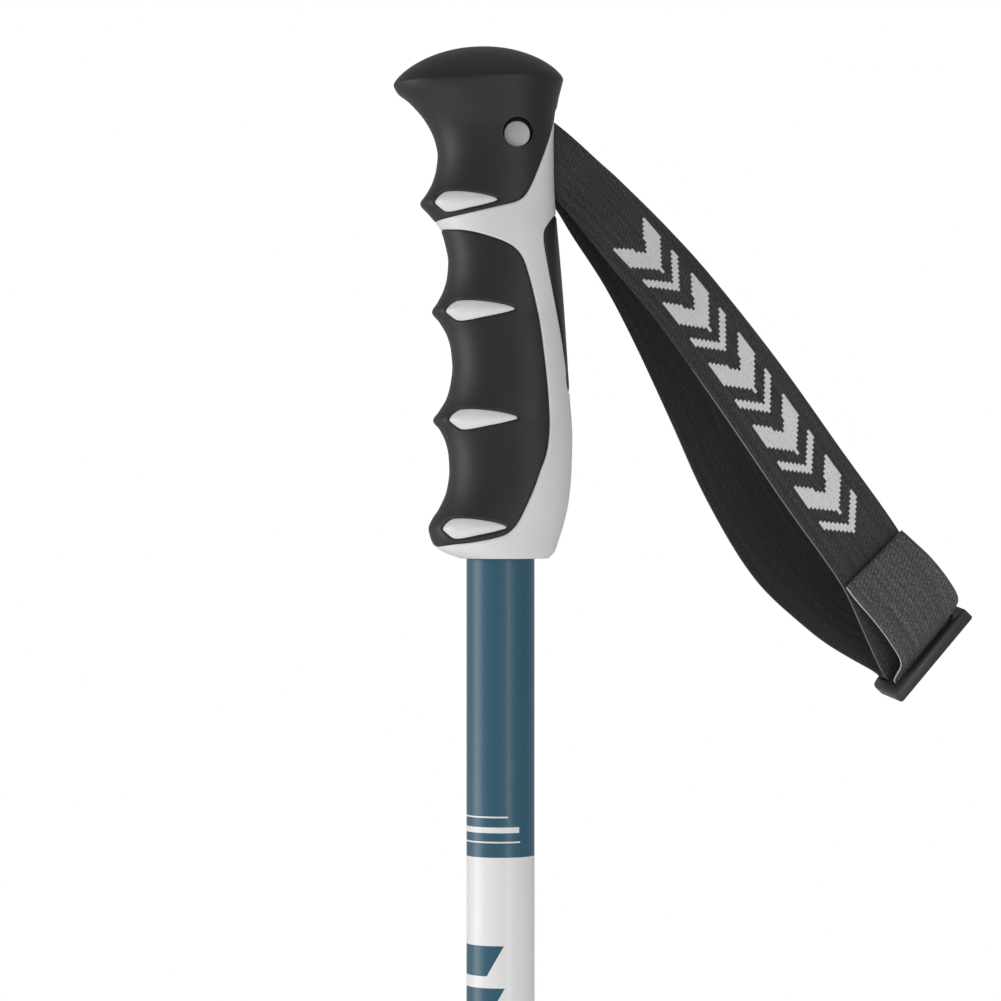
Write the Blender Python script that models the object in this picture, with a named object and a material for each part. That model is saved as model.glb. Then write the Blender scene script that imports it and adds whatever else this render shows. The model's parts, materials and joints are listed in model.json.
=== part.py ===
"""Alpine ski pole with an adjustable wrist strap, built as separate pieces.

Metres, +Z up. The origin is the middle of the steel tip's end face and the shaft runs up +Z.
-X is the front of the grip, where the fingers close, and the strap leaves the grip towards +X.
"""

import math

import bmesh
import bpy
from mathutils import Matrix, Vector

MM = 0.001

# Sizes that can be set by themselves
POLE_LENGTH = 1.200
FIT_GAP = 0.3 * MM

SHAFT_DIAMETER = 18.0 * MM
SHAFT_END_DIAMETER = 11.5 * MM
SHAFT_WALL = 1.1 * MM
TAPER_FROM = 420 * MM
TAPER_TO = 130 * MM

GRIP_HEIGHT = 135.3 * MM
GRIP_OUTLINE_HEIGHT = 135.3
OVERMOULD = 2.0 * MM
SOCKET_DEPTH = 83 * MM
SECTION_POWER = 2.3

PIN_INSIDE_REAR = 4.6 * MM
PIN_HEIGHT = 112.2
PIN_DIAMETER = 4.0 * MM
PIN_HEAD_DIAMETER = 6.8 * MM
PIN_HEAD_THICKNESS = 2.4 * MM
PIN_HEAD_PROUD = 3.2 * MM

WEBBING_WIDTH = 23.0 * MM
WEBBING_THICKNESS = 1.4 * MM
TONGUE_WIDTH = 15.2 * MM
SWING_DEGREES = 45
SLOT_CLEARANCE = 0.45 * MM

BUCKLE_BAR = 2.6 * MM
BUCKLE_THICKNESS = 3.2 * MM
BUCKLE_SIDE = 2.9 * MM
BUCKLE_CLEARANCE = 0.5 * MM
ANCHOR_THICKNESS = 1.2 * MM

TIP_DIAMETER = 5.0 * MM
TIP_OUT = 11 * MM
TIP_HELD = 18 * MM
SEAT_DIAMETER = 15.6 * MM
SEAT_LOW = 56 * MM
HUB_HEIGHT = 15 * MM
HUB_WALL = 2.6 * MM
RETAINER_THICKNESS = 2.0 * MM
BASKET_DIAMETER = 62 * MM
BASKET_THICKNESS = 2.4 * MM
WINDOW_COUNT = 6
WINDOW_DIAMETER = 9 * MM
FERRULE_WALL = 1.6 * MM
FERRULE_SOCKET = 34 * MM

GRIP_BASE = POLE_LENGTH - GRIP_HEIGHT
SHAFT_RADIUS = SHAFT_DIAMETER / 2
SHAFT_END_RADIUS = SHAFT_END_DIAMETER / 2

# How far the grip stands out from the shaft, in millimetres, at heights above its underside.
FRONT_WALL = [
    (0, 1.6), (1.6, 6.1), (3.4, 8.5), (5.8, 9.6), (7.9, 10.0), (10.1, 9.2), (13.2, 7.2), (18, 5.2),
    (23, 4.5), (27, 4.7), (30.7, 5.5), (33.9, 7.0), (36.4, 8.8), (38.9, 7.2), (42.4, 5.2),
    (46.1, 4.2), (50.3, 3.7), (55.1, 4.1), (58.8, 5.1), (62.5, 7.2), (65.1, 9.1), (67.5, 7.7),
    (70.7, 6.1), (74.4, 5.1), (78.4, 4.8), (82.9, 5.6), (86.3, 6.6), (88.8, 8.2), (91.1, 10.1),
    (93.7, 12.2), (96.1, 10.7), (99, 9.1), (102.7, 8.0), (106.4, 7.6), (110.6, 8.4), (115.9, 10.9),
    (121.2, 15.2), (124, 18.4), (125.8, 19.3),
]
REAR_WALL = [
    (0, 3.7), (1.9, 5.4), (4.8, 6.4), (9, 7.7), (15.4, 9.1), (23.3, 9.8), (32.3, 10.0), (41.8, 9.4),
    (55.1, 8.5), (68.3, 7.6), (81.5, 6.5), (90.8, 5.7), (100.1, 5.2), (110.6, 5.1), (116.5, 5.6),
    (121.2, 6.4), (125.8, 7.6),
]
SIDE_WALL = [
    (0, 2.6), (2, 3.7), (6, 4.8), (14, 5.3), (30, 5.1), (60, 5.0), (85, 4.6), (104, 4.3),
    (112, 4.9), (120, 6.8), (125.8, 8.3),
]
RIM_HEIGHT = 125.8
RIM_TILT = 0.035
DOME_POWER = 1.4
DOME_FLAT = 0.14

# Outlines on the side of the grip, in millimetres forward of the shaft axis and above the underside.
HEAD_OUTLINE = [
    (-45, 150), (-45, 88.6), (-20.1, 88.9), (-8.0, 91.4), (3.4, 93.7), (6.6, 95.3), (8.4, 98.5),
    (10.8, 104.0), (12.9, 109.9), (14.5, 115.8), (15.6, 119.5), (30, 125), (30, 150),
]
FINGER_OUTLINE = [
    (-40, 86.3), (-12.2, 86.4), (-7.7, 85.8), (-3.2, 84.6), (1.0, 83.1), (3.9, 81.4), (5.9, 78.9),
    (7.4, 74.9), (8.9, 69.4), (10.4, 62.6), (11.5, 54.8), (12.3, 48), (12.9, 41), (13.1, 34.9),
    (12.7, 30), (12.0, 26.7), (10.7, 23.3), (8.9, 18.3), (6.7, 13.4), (4.8, 9.7), (2.9, 7.4),
    (0.8, 6.1), (-4.5, 4.8), (-11.9, 3.6), (-40, 1.2),
]
PAD_OUTLINE = [
    (40, 90.1), (14.6, 90.5), (12.6, 87.9), (11.6, 86), (11.5, 83.4), (12.2, 78.9), (13.3, 73.1),
    (14.8, 65.6), (16.3, 57.4), (17.3, 50.8), (18.8, 43.1), (40, 30),
]
# A raised boss, blunt at the front and pointed at the rear, as shares of its length and height.
BOSS_OUTLINE = [
    (0, -0.05), (0.05, 0.27), (0.16, 0.44), (0.42, 0.42), (0.7, 0.30), (0.95, 0.11), (1, 0.05),
    (0.83, -0.13), (0.55, -0.35), (0.24, -0.52), (0.08, -0.40),
]
# Front end, height and length of each boss, in millimetres.
BOSSES = [(-17.4, 94.3, 16.8), (-14.6, 65.3, 18.4), (-13.8, 36.3, 18.5), (-15.5, 7.7, 17.2)]
BOSS_HEIGHT = 5.4

# The strap's route in millimetres from the pin: middle of the webbing, direction across it from its
# lower to its upper edge, and how far it has spread from the tongue's width to the webbing's.
FRONT_ROUTE = [
    ((17.3, -0.85, -13.6), (0.69, 0.02, 0.72), 0),
    ((22.2, -3.0, -19.0), (0.65, 0.29, 0.70), 0.27),
    ((32.8, -8.2, -31.2), (0.61, 0.46, 0.65), 0.72),
    ((43.1, -11.8, -43.3), (0.60, 0.50, 0.63), 0.88),
    ((60.7, -12.8, -66.9), (0.63, 0.44, 0.64), 1),
    ((78.0, -8.0, -91.2), (0.66, 0.38, 0.65), 1),
    ((93.3, -1.8, -112.1), (0.67, 0.36, 0.65), 1),
    ((98.4, 1.3, -122.0), (0.67, 0.28, 0.68), 1),
]
BACK_ROUTE = [
    ((16.1, 0.85, -15.0), (0.69, 0.02, 0.72), 0),
    ((20.3, 2.0, -20.9), (0.66, 0.29, 0.70), 0.28),
    ((29.4, 2.6, -33.1), (0.64, 0.42, 0.64), 0.68),
    ((37.8, 5.3, -47.5), (0.64, 0.44, 0.63), 0.88),
    ((48.1, 9.6, -68.3), (0.64, 0.44, 0.63), 1),
    ((58.0, 15.0, -89.3), (0.64, 0.42, 0.65), 1),
    ((71.4, 17.6, -110.5), (0.65, 0.36, 0.67), 1),
    ((86.0, 14.2, -123.8), (0.65, 0.25, 0.72), 1),
    ((92.0, 12.0, -128.0), (0.65, 0.20, 0.73), 1),
]
TAIL_ROUTE = [
    ((94.3, -3.9, -112.5), (0.67, 0.36, 0.65), 1),
    ((100.6, -3.2, -120.6), (0.67, 0.32, 0.67), 1),
    ((105.6, -2.0, -127.0), (0.68, 0.24, 0.69), 1),
    ((108.4, -0.7, -131.9), (0.67, 0.17, 0.72), 1),
]
TONGUE_SHOULDER = (4.8, -2.0)
TONGUE_END = (16.2, -14.2)
TONGUE_END_SPREAD = 1.7
TONGUE_SLOPE = (0.69, 0.72)

BUCKLE_CENTRE = (107.7, 3.5, -137.0)
BUCKLE_ALONG = (0.645, 0.12, 0.755)
BUCKLE_DEPTH = (-0.33, 0.93, 0.13)


# ---------------------------------------------------------------- materials and helpers


def finish(name, colour, roughness, metallic=0.0):
    material = bpy.data.materials.new(name)
    material.use_nodes = True
    shader = material.node_tree.nodes["Principled BSDF"]
    shader.inputs["Base Color"].default_value = (*colour, 1)
    shader.inputs["Roughness"].default_value = roughness
    shader.inputs["Metallic"].default_value = metallic
    return material


def add(name, mesh, material, parent=None):
    """The bmesh as a named object, with its faces turned out and its round sides smooth."""
    bmesh.ops.triangulate(mesh, faces=mesh.faces)
    bmesh.ops.recalc_face_normals(mesh, faces=mesh.faces)
    data = bpy.data.meshes.new(name)
    mesh.to_mesh(data)
    mesh.free()
    data.materials.append(material)
    data.shade_smooth()
    data.set_sharp_from_angle(angle=math.radians(35))
    obj = bpy.data.objects.new(name, data)
    bpy.context.scene.collection.objects.link(obj)
    obj.parent = parent
    return obj


def helper(name, mesh, parent=None):
    """A cutter: wire in the viewport and left out of renders."""
    obj = add(name, mesh, CUTTER, parent)
    obj.hide_render = True
    obj.display_type = "WIRE"
    return obj


def boolean(target, operation, *others):
    for other in others:
        modifier = target.modifiers.new(other.name, "BOOLEAN")
        modifier.operation = operation
        modifier.solver = "MANIFOLD"
        modifier.object = other


def pivot(name, matrix, parent=None):
    empty = bpy.data.objects.new(name, None)
    empty.empty_display_size = 10 * MM
    bpy.context.scene.collection.objects.link(empty)
    empty.parent = parent
    empty.matrix_local = matrix
    return empty


def skin(mesh, rings, closed=False):
    """Quads between neighbouring rings of vertices, and between the last and the first if closed."""
    pairs = list(zip(rings, rings[1:])) + ([(rings[-1], rings[0])] if closed else [])
    for low, high in pairs:
        for i, (a, b) in enumerate(zip(low, high)):
            mesh.faces.new((a, low[i - 1], high[i - 1], b))


def lofted(rings):
    """A solid through rings of points, with flat ends."""
    mesh = bmesh.new()
    loops = [[mesh.verts.new(point) for point in ring] for ring in rings]
    skin(mesh, loops)
    mesh.faces.new(loops[0])
    mesh.faces.new(loops[-1])
    return mesh


def turned(profile, segments):
    """A ring turned round Z from a closed profile of (radius, height) points, none on the axis."""
    mesh = bmesh.new()
    rings = [
        [
            mesh.verts.new((radius * math.cos(turn), radius * math.sin(turn), height))
            for turn in (2 * math.pi * i / segments for i in range(segments))
        ]
        for radius, height in profile
    ]
    skin(mesh, rings, closed=True)
    return mesh


def turned_solid(profile, segments):
    """A solid turned round Z, with flat ends at the first and the last (radius, height) point."""
    return lofted(
        [
            (radius * math.cos(turn), radius * math.sin(turn), height)
            for turn in (2 * math.pi * i / segments for i in range(segments))
        ]
        for radius, height in profile
    )


def prism(outline, low, high):
    """A closed outline of (x, z) points, extruded along Y."""
    return lofted([[(x, y, z) for x, z in outline] for y in (low, high)])


def across(radius, low, high, segments=24):
    """A cylinder along Y, on the parent's own axis."""
    return prism(circle(radius, segments), low, high)


def circle(radius, segments=24):
    turns = (2 * math.pi * i / segments for i in range(segments))
    return [(radius * math.cos(turn), radius * math.sin(turn)) for turn in turns]


def hull(points):
    """The convex outline round points, anticlockwise."""
    ordered = sorted(set(points))
    chains = []
    for run in (ordered, ordered[::-1]):
        chain = []
        for point in run:
            while len(chain) > 1:
                (ax, az), (bx, bz) = chain[-2:]
                if (bx - ax) * (point[1] - az) - (bz - az) * (point[0] - ax) > 0:
                    break
                chain.pop()
            chain.append(point)
        chains += chain[:-1]
    return chains


def offset(outline, distance):
    """An anticlockwise or clockwise outline moved out by a distance, or in if it is negative."""
    area = sum(a[0] * b[1] - b[0] * a[1] for a, b in zip(outline, outline[1:] + outline[:1]))
    side = distance if area > 0 else -distance
    moved = []
    for before, at, after in zip(outline[-1:] + outline[:-1], outline, outline[1:] + outline[:1]):
        one = (Vector(at) - Vector(before)).normalized()
        two = (Vector(after) - Vector(at)).normalized()
        out = Vector((one.y + two.y, -one.x - two.x)).normalized()
        share = max(0.4, out.dot(Vector((one.y, -one.x))))
        moved.append(tuple(Vector(at) + out * (side / share)))
    return moved


def smooth(points):
    """A function through (height, value) points that keeps their peaks as peaks."""
    steps = [(b[1] - a[1]) / (b[0] - a[0]) for a, b in zip(points, points[1:])]
    slopes = [steps[0]]
    for one, two in zip(steps, steps[1:]):
        slopes.append(0 if one * two <= 0 else 2 * one * two / (one + two))
    slopes.append(steps[-1])

    def value(height):
        i = max(k for k in range(len(steps)) if k == 0 or points[k][0] <= height)
        (low, start), (high, end) = points[i], points[i + 1]
        span = high - low
        t = min(1, max(0, (height - low) / span))
        bend = (2 * t**3 - 3 * t**2 + 1) * start + (3 * t**2 - 2 * t**3) * end
        return bend + span * ((t**3 - 2 * t**2 + t) * slopes[i] + (t**3 - t**2) * slopes[i + 1])

    return value


# ---------------------------------------------------------------- grip

front_wall, rear_wall, side_wall = smooth(FRONT_WALL), smooth(REAR_WALL), smooth(SIDE_WALL)
OUTLINE_SCALE = GRIP_HEIGHT / GRIP_OUTLINE_HEIGHT


def lift(height):
    """World height of a height on the grip's outline, in millimetres above its underside."""
    return GRIP_BASE + height * OUTLINE_SCALE


def grip_side(outline):
    """An outline on the side of the grip in world metres."""
    return [(x * MM, lift(height)) for x, height in outline]


def grip_ring(height, inset, share=1.0, lowered=0.0, count=20):
    """One section of the grip: the outer surface moved in by inset, then shrunk to a share."""
    front = SHAFT_RADIUS + front_wall(min(height, RIM_HEIGHT)) * MM - inset
    rear = SHAFT_RADIUS + rear_wall(min(height, RIM_HEIGHT)) * MM - inset
    side = SHAFT_RADIUS + side_wall(min(height, RIM_HEIGHT)) * MM - inset
    middle, reach = (rear - front) / 2, (rear + front) / 2 * share
    tilt = RIM_TILT * min(1, max(0, (height - 110) / 14))
    ring = []
    for i in range(count):
        turn = 2 * math.pi * (i + 0.5) / count
        x, y = (
            math.copysign(abs(value) ** (2 / SECTION_POWER), value)
            for value in (math.cos(turn), math.sin(turn))
        )
        ring.append(
            (middle + reach * x, side * share * y, lift(height) - lowered + tilt * reach * x)
        )
    return ring


def grip_body(inset):
    """The whole grip's outer surface, moved in by inset, as a solid."""
    rings = [grip_ring(height, inset) for height, _ in FRONT_WALL]
    dome = GRIP_OUTLINE_HEIGHT - RIM_HEIGHT
    for t in (0.15, 0.4, 0.65, 0.85, 1):
        share = math.sqrt(max(DOME_FLAT**2, 1 - t**DOME_POWER))
        rings.append(grip_ring(RIM_HEIGHT + t * dome, inset, share, lowered=inset * t))
    return lofted(rings)


def boss_outline(boss, grown):
    start, height, length = boss
    outline = [(start + length * along, height + BOSS_HEIGHT * up) for along, up in BOSS_OUTLINE]
    return offset(grip_side(outline), grown)


def make_grip(tongue_sweep):
    """The white core and the three black overmoulds that fill its pockets."""
    wide = 40 * MM
    wider = 50 * MM
    outer = helper("cut_grip_outer", grip_body(0))
    floor = helper("cut_pocket_floor", grip_body(OVERMOULD))
    lining = helper("cut_lining", grip_body(OVERMOULD - FIT_GAP))
    slot = helper("cut_slot", prism(tongue_sweep, *slot_faces()))
    bore = helper("cut_bore", turned_solid([(SHAFT_RADIUS + FIT_GAP, GRIP_BASE - 5 * MM),
                                            (SHAFT_RADIUS + FIT_GAP, GRIP_BASE + SOCKET_DEPTH)], 32))
    at_pin = pivot("pin_axis", Matrix.Translation(PIN))
    hole = helper("cut_pin_hole", across(PIN_DIAMETER / 2 + FIT_GAP, -wide, wide), at_pin)
    seats = [
        helper(f"cut_pin_seat_{side}", across(PIN_HEAD_DIAMETER / 2 + FIT_GAP, *sorted(reach)), at_pin)
        for side, reach in (("near", (-wide, -HEAD_SEAT)), ("far", (wide, HEAD_SEAT)))
    ]

    core = add("grip_core", grip_body(0), WHITE)
    regions = (("head_overmould", HEAD_OUTLINE, BOSSES[:1]),
               ("finger_overmould", FINGER_OUTLINE, BOSSES[1:]),
               ("rear_pad", PAD_OUTLINE, []))
    for name, outline, bosses in regions:
        pocket = helper(f"cut_pocket_{name}", prism(offset(grip_side(outline), FIT_GAP / 2), -wide, wide))
        cover = add(f"grip_{name}", prism(offset(grip_side(outline), -FIT_GAP / 2), -wide, wide), BLACK)
        boolean(cover, "INTERSECT", outer)
        for number, boss in enumerate(bosses):
            keep = helper(f"cut_boss_{name}_{number}", prism(boss_outline(boss, -FIT_GAP / 2), -wider, wider))
            window = helper(f"cut_window_{name}_{number}", prism(boss_outline(boss, FIT_GAP / 2), -wider, wider))
            boolean(pocket, "DIFFERENCE", keep)
            boolean(cover, "DIFFERENCE", window)
        boolean(pocket, "DIFFERENCE", floor)
        boolean(cover, "DIFFERENCE", lining)
        boolean(core, "DIFFERENCE", pocket)
        if name == "head_overmould":
            boolean(cover, "DIFFERENCE", slot, *seats)
    boolean(core, "DIFFERENCE", slot, bore, hole, *seats)
    return at_pin


# ---------------------------------------------------------------- strap pin

PIN = Vector((SHAFT_RADIUS - PIN_INSIDE_REAR, 0, lift(PIN_HEIGHT)))
PIN_HEAD_OUT = SHAFT_RADIUS + PIN_HEAD_PROUD
HEAD_SEAT = PIN_HEAD_OUT - PIN_HEAD_THICKNESS - FIT_GAP


def make_pin(at_pin):
    """A headed pin through the strap's tongue, and the cap pressed on its far end."""
    end = PIN_HEAD_OUT - 1.0 * MM
    pin = lofted(
        [[(x, y, z) for x, z in circle(radius)]
         for radius, y in (
             (PIN_HEAD_DIAMETER / 2 - 0.4 * MM, -PIN_HEAD_OUT),
             (PIN_HEAD_DIAMETER / 2, -PIN_HEAD_OUT + 0.4 * MM),
             (PIN_HEAD_DIAMETER / 2, -PIN_HEAD_OUT + PIN_HEAD_THICKNESS),
             (PIN_DIAMETER / 2, -PIN_HEAD_OUT + PIN_HEAD_THICKNESS),
             (PIN_DIAMETER / 2, end),
         )]
    )
    add("strap_pin", pin, GREY, at_pin)
    low, high = PIN_HEAD_OUT - PIN_HEAD_THICKNESS, PIN_HEAD_OUT
    socket = (PIN_DIAMETER / 2 + FIT_GAP, end + FIT_GAP)
    cap = lofted(
        [[(x, y, z) for x, z in circle(radius)]
         for radius, y in (
             (socket[0], socket[1]), (socket[0], low), (PIN_HEAD_DIAMETER / 2, low),
             (PIN_HEAD_DIAMETER / 2, high - 0.4 * MM), (PIN_HEAD_DIAMETER / 2 - 0.4 * MM, high),
         )]
    )
    add("strap_pin_cap", cap, GREY, at_pin)


# ---------------------------------------------------------------- strap


def tongue_outline():
    """The stitched end round the pin, in metres from the pin."""
    slope = Vector(TONGUE_SLOPE).normalized()
    half = TONGUE_WIDTH / 2
    end = Vector(TONGUE_END) * MM
    reach = half + TONGUE_END_SPREAD * MM / 2
    corners = [Vector(TONGUE_SHOULDER) * MM + slope * half, end + slope * reach, end - slope * reach]
    return hull(circle(half) + [tuple(corner) for corner in corners])


def tongue_sweep():
    """The space that the tongue needs over its swing, in world metres, open to the rear."""
    outline = offset(tongue_outline(), SLOT_CLEARANCE)
    steps = 6
    points = []
    for k in range(steps + 1):
        turn = Matrix.Rotation(math.radians(SWING_DEGREES * k / steps), 2)
        points += [tuple(turn @ Vector(point)) for point in outline]
    lip = outline.index(min(outline, key=lambda point: point[1]))
    (ax, az), (bx, bz) = outline[lip - 1], outline[lip]
    points.append((bx + (bx - ax) / 2, bz + (bz - az) / 2))
    return [(x + PIN.x, z + PIN.z) for x, z in hull([(round(x, 6), round(z, 6)) for x, z in points])]


def tongue_half():
    return WEBBING_THICKNESS + 0.1 * MM


def slot_faces():
    return -tongue_half() - SLOT_CLEARANCE, tongue_half() + SLOT_CLEARANCE


def route(stations, steps):
    """A smooth run of (middle, across, width) through stations given in millimetres from the pin."""
    rows = [
        (*[value * MM for value in middle], *Vector(across_it).normalized(),
         TONGUE_WIDTH + spread * (WEBBING_WIDTH - TONGUE_WIDTH))
        for middle, across_it, spread in stations
    ]
    along = [0.0]
    for a, b in zip(rows, rows[1:]):
        along.append(along[-1] + math.dist(a[:3], b[:3]))
    last = len(rows) - 1
    slopes = []
    for i in range(len(rows)):
        a, b = max(0, i - 1), min(last, i + 1)
        slopes.append([(q - p) / (along[b] - along[a]) for p, q in zip(rows[a], rows[b])])
    found = []
    for i in range(last):
        span = along[i + 1] - along[i]
        for k in range(steps + (i == last - 1)):
            t = k / steps
            weights = (2 * t**3 - 3 * t**2 + 1, (t**3 - 2 * t**2 + t) * span,
                       3 * t**2 - 2 * t**3, (t**3 - t**2) * span)
            found.append([
                sum(weight * value for weight, value in zip(weights, column))
                for column in zip(rows[i], slopes[i], rows[i + 1], slopes[i + 1])
            ])
    return [(Vector(row[:3]), Vector(row[3:6]).normalized(), row[6]) for row in found]


def band(run, thickness):
    """Flat webbing along a run of (middle, across, width)."""
    rings = []
    for i, (middle, sideways, width) in enumerate(run):
        ahead = run[min(i + 1, len(run) - 1)][0] - run[max(i - 1, 0)][0]
        out = sideways.cross(ahead).normalized() * (thickness / 2)
        half = sideways * (width / 2)
        rings.append([middle - half - out, middle + half - out, middle + half + out, middle - half + out])
    return lofted(rings)


def backed_off(run, at_start, at_end):
    """The run with its first and last sections moved in along it, so that it leaves a gap."""
    run = list(run)
    for index, inner, distance in ((0, 1, at_start), (-1, -2, at_end)):
        middle, sideways, width = run[index]
        inward = (run[inner][0] - middle).normalized()
        run[index] = (middle + inward * distance, sideways, width)
    return run


def make_strap(at_pin):
    """The stitched tongue, the two runs of the loop and their short ends beside the buckle."""
    tongue = add("strap_tongue", prism(tongue_outline(), -tongue_half(), tongue_half()), WEBBING, at_pin)
    eyelet = helper("cut_eyelet", across(PIN_DIAMETER / 2 + FIT_GAP, -20 * MM, 20 * MM), at_pin)
    boolean(tongue, "DIFFERENCE", eyelet)
    front, back = route(FRONT_ROUTE, 2), route(BACK_ROUTE, 2)
    add("strap_front_run", band(front, WEBBING_THICKNESS), WEBBING, at_pin)
    add("strap_back_run", band(back, WEBBING_THICKNESS), WEBBING, at_pin)

    to_pin = buckle_matrix()
    front_end = (to_pin @ Vector((0, LEG, -LEG_TOP - FIT_GAP)), BUCKLE_AXES[0], WEBBING_WIDTH)
    lead = backed_off([front[-1], front_end], FIT_GAP, FIT_GAP)
    add("strap_front_lead", band(lead, WEBBING_THICKNESS), WEBBING, at_pin)
    anchor = to_pin @ Vector((0, ANCHOR_Q, 0))
    away = (back[-1][0] - anchor).normalized()
    clear = (BUCKLE_THICKNESS / 2 + FIT_GAP + ANCHOR_THICKNESS) / abs(away.dot(BUCKLE_AXES[2]))
    back_end = (anchor + away * (clear + 0.5 * MM), BUCKLE_AXES[0], WEBBING_WIDTH)
    lead = backed_off([back[-1], back_end], FIT_GAP, FIT_GAP)
    add("strap_back_lead", band(lead, WEBBING_THICKNESS), WEBBING, at_pin)


# ---------------------------------------------------------------- buckle and tail


def buckle_axes():
    """Unit vectors along the buckle's bars, across them, and through it towards the loop's end."""
    along = Vector(BUCKLE_ALONG).normalized()
    depth = Vector(BUCKLE_DEPTH)
    depth = (depth - along * depth.dot(along)).normalized()
    return along, depth, depth.cross(along)


def buckle_matrix():
    """From the buckle's own axes, with its middle bar at the origin, to metres from the pin."""
    matrix = Matrix(BUCKLE_AXES).transposed().to_4x4()
    matrix.translation = Vector(BUCKLE_CENTRE) * MM
    return matrix


BUCKLE_AXES = buckle_axes()
HALF_BAR = BUCKLE_BAR / 2
LEG = HALF_BAR + BUCKLE_CLEARANCE + WEBBING_THICKNESS / 2
LEG_TOP = BUCKLE_THICKNESS / 2 + 0.5 * MM
SLOT_A = WEBBING_THICKNESS + 2 * BUCKLE_CLEARANCE
SLOT_B = WEBBING_THICKNESS + ANCHOR_THICKNESS + FIT_GAP + 2 * BUCKLE_CLEARANCE + 0.1 * MM
ANCHOR_Q = HALF_BAR + SLOT_B + HALF_BAR


def box_outline(low, high, half, corner):
    """A rectangle in the (across, through) plane with its corners cut off."""
    return [
        (low + corner, -half), (high - corner, -half), (high, -half + corner), (high, half - corner),
        (high - corner, half), (low + corner, half), (low, half - corner), (low, -half + corner),
    ]


def along_bar(outline, half_length):
    """A closed outline of (across, through) points, extruded along the buckle's bars."""
    return lofted([[(w, q, t) for q, t in outline] for w in (-half_length, half_length)])


def make_buckle(at_pin):
    """The three-bar slider, the strap's tail round its middle bar and the anchor loop on its rear bar."""
    at_buckle = pivot("buckle_carriage", buckle_matrix(), at_pin)
    inner_half = WEBBING_WIDTH / 2 + 0.4 * MM
    outer_half = inner_half + BUCKLE_SIDE
    near, far = -HALF_BAR - SLOT_A - BUCKLE_BAR, HALF_BAR + SLOT_B + BUCKLE_BAR
    thick = BUCKLE_THICKNESS / 2
    frame = add("buckle_frame", along_bar(box_outline(near, far, thick, 0.6 * MM), outer_half), HARD_BLACK, at_buckle)
    for name, low, high in (("a", -HALF_BAR - SLOT_A, -HALF_BAR), ("b", HALF_BAR, HALF_BAR + SLOT_B)):
        window = along_bar([(low, -thick * 2), (high, -thick * 2), (high, thick * 2), (low, thick * 2)], inner_half)
        boolean(frame, "DIFFERENCE", helper(f"cut_buckle_slot_{name}", window, at_buckle))

    to_buckle = buckle_matrix().inverted()
    turn = to_buckle.to_3x3()
    tail = [(to_buckle @ middle, turn @ sideways, width) for middle, sideways, width in route(TAIL_ROUTE, 2)]
    bar = Vector((1, 0, 0))
    tail += [(Vector((0, -LEG, height)), bar, WEBBING_WIDTH) for height in (-LEG_TOP, 0)]
    bottom = 0.7 * MM
    for k in range(7):
        angle = math.pi * k / 6
        middle = Vector((0, -LEG * math.cos(angle), bottom + LEG * math.sin(angle)))
        tail.append((middle, bar, WEBBING_WIDTH))
    tail.append((Vector((0, LEG, -LEG_TOP)), bar, WEBBING_WIDTH))
    add("strap_tail", band(tail, WEBBING_THICKNESS), WEBBING, at_buckle)

    inner = box_outline(ANCHOR_Q - HALF_BAR - FIT_GAP, ANCHOR_Q + HALF_BAR + FIT_GAP, thick + FIT_GAP, 0.2 * MM)
    outer = offset(inner, ANCHOR_THICKNESS)
    loop = bmesh.new()
    rings = [
        [loop.verts.new((w, q, t)) for q, t in outline]
        for outline, w in ((outer, -WEBBING_WIDTH / 2), (outer, WEBBING_WIDTH / 2),
                           (inner, WEBBING_WIDTH / 2), (inner, -WEBBING_WIDTH / 2))
    ]
    skin(loop, rings, closed=True)
    add("strap_anchor_loop", loop, WEBBING, at_buckle)


# ---------------------------------------------------------------- shaft, tip and basket


def make_shaft():
    bottom = SEAT_TOP + FERRULE_FLOOR + FIT_GAP
    top = GRIP_BASE + SOCKET_DEPTH - FIT_GAP
    outer = [(SHAFT_END_RADIUS, bottom), (SHAFT_END_RADIUS, TAPER_TO), (SHAFT_RADIUS, TAPER_FROM), (SHAFT_RADIUS, top)]
    inner = [(radius - SHAFT_WALL, height) for radius, height in reversed(outer)]
    add("shaft_tube", turned(outer + inner, 32), TEAL)


SEAT_TOP = SEAT_LOW + HUB_HEIGHT + RETAINER_THICKNESS + 3 * FIT_GAP
FERRULE_FLOOR = 4 * MM
SEAT_RADIUS = SEAT_DIAMETER / 2
GROOVE = 0.9 * MM


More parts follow.
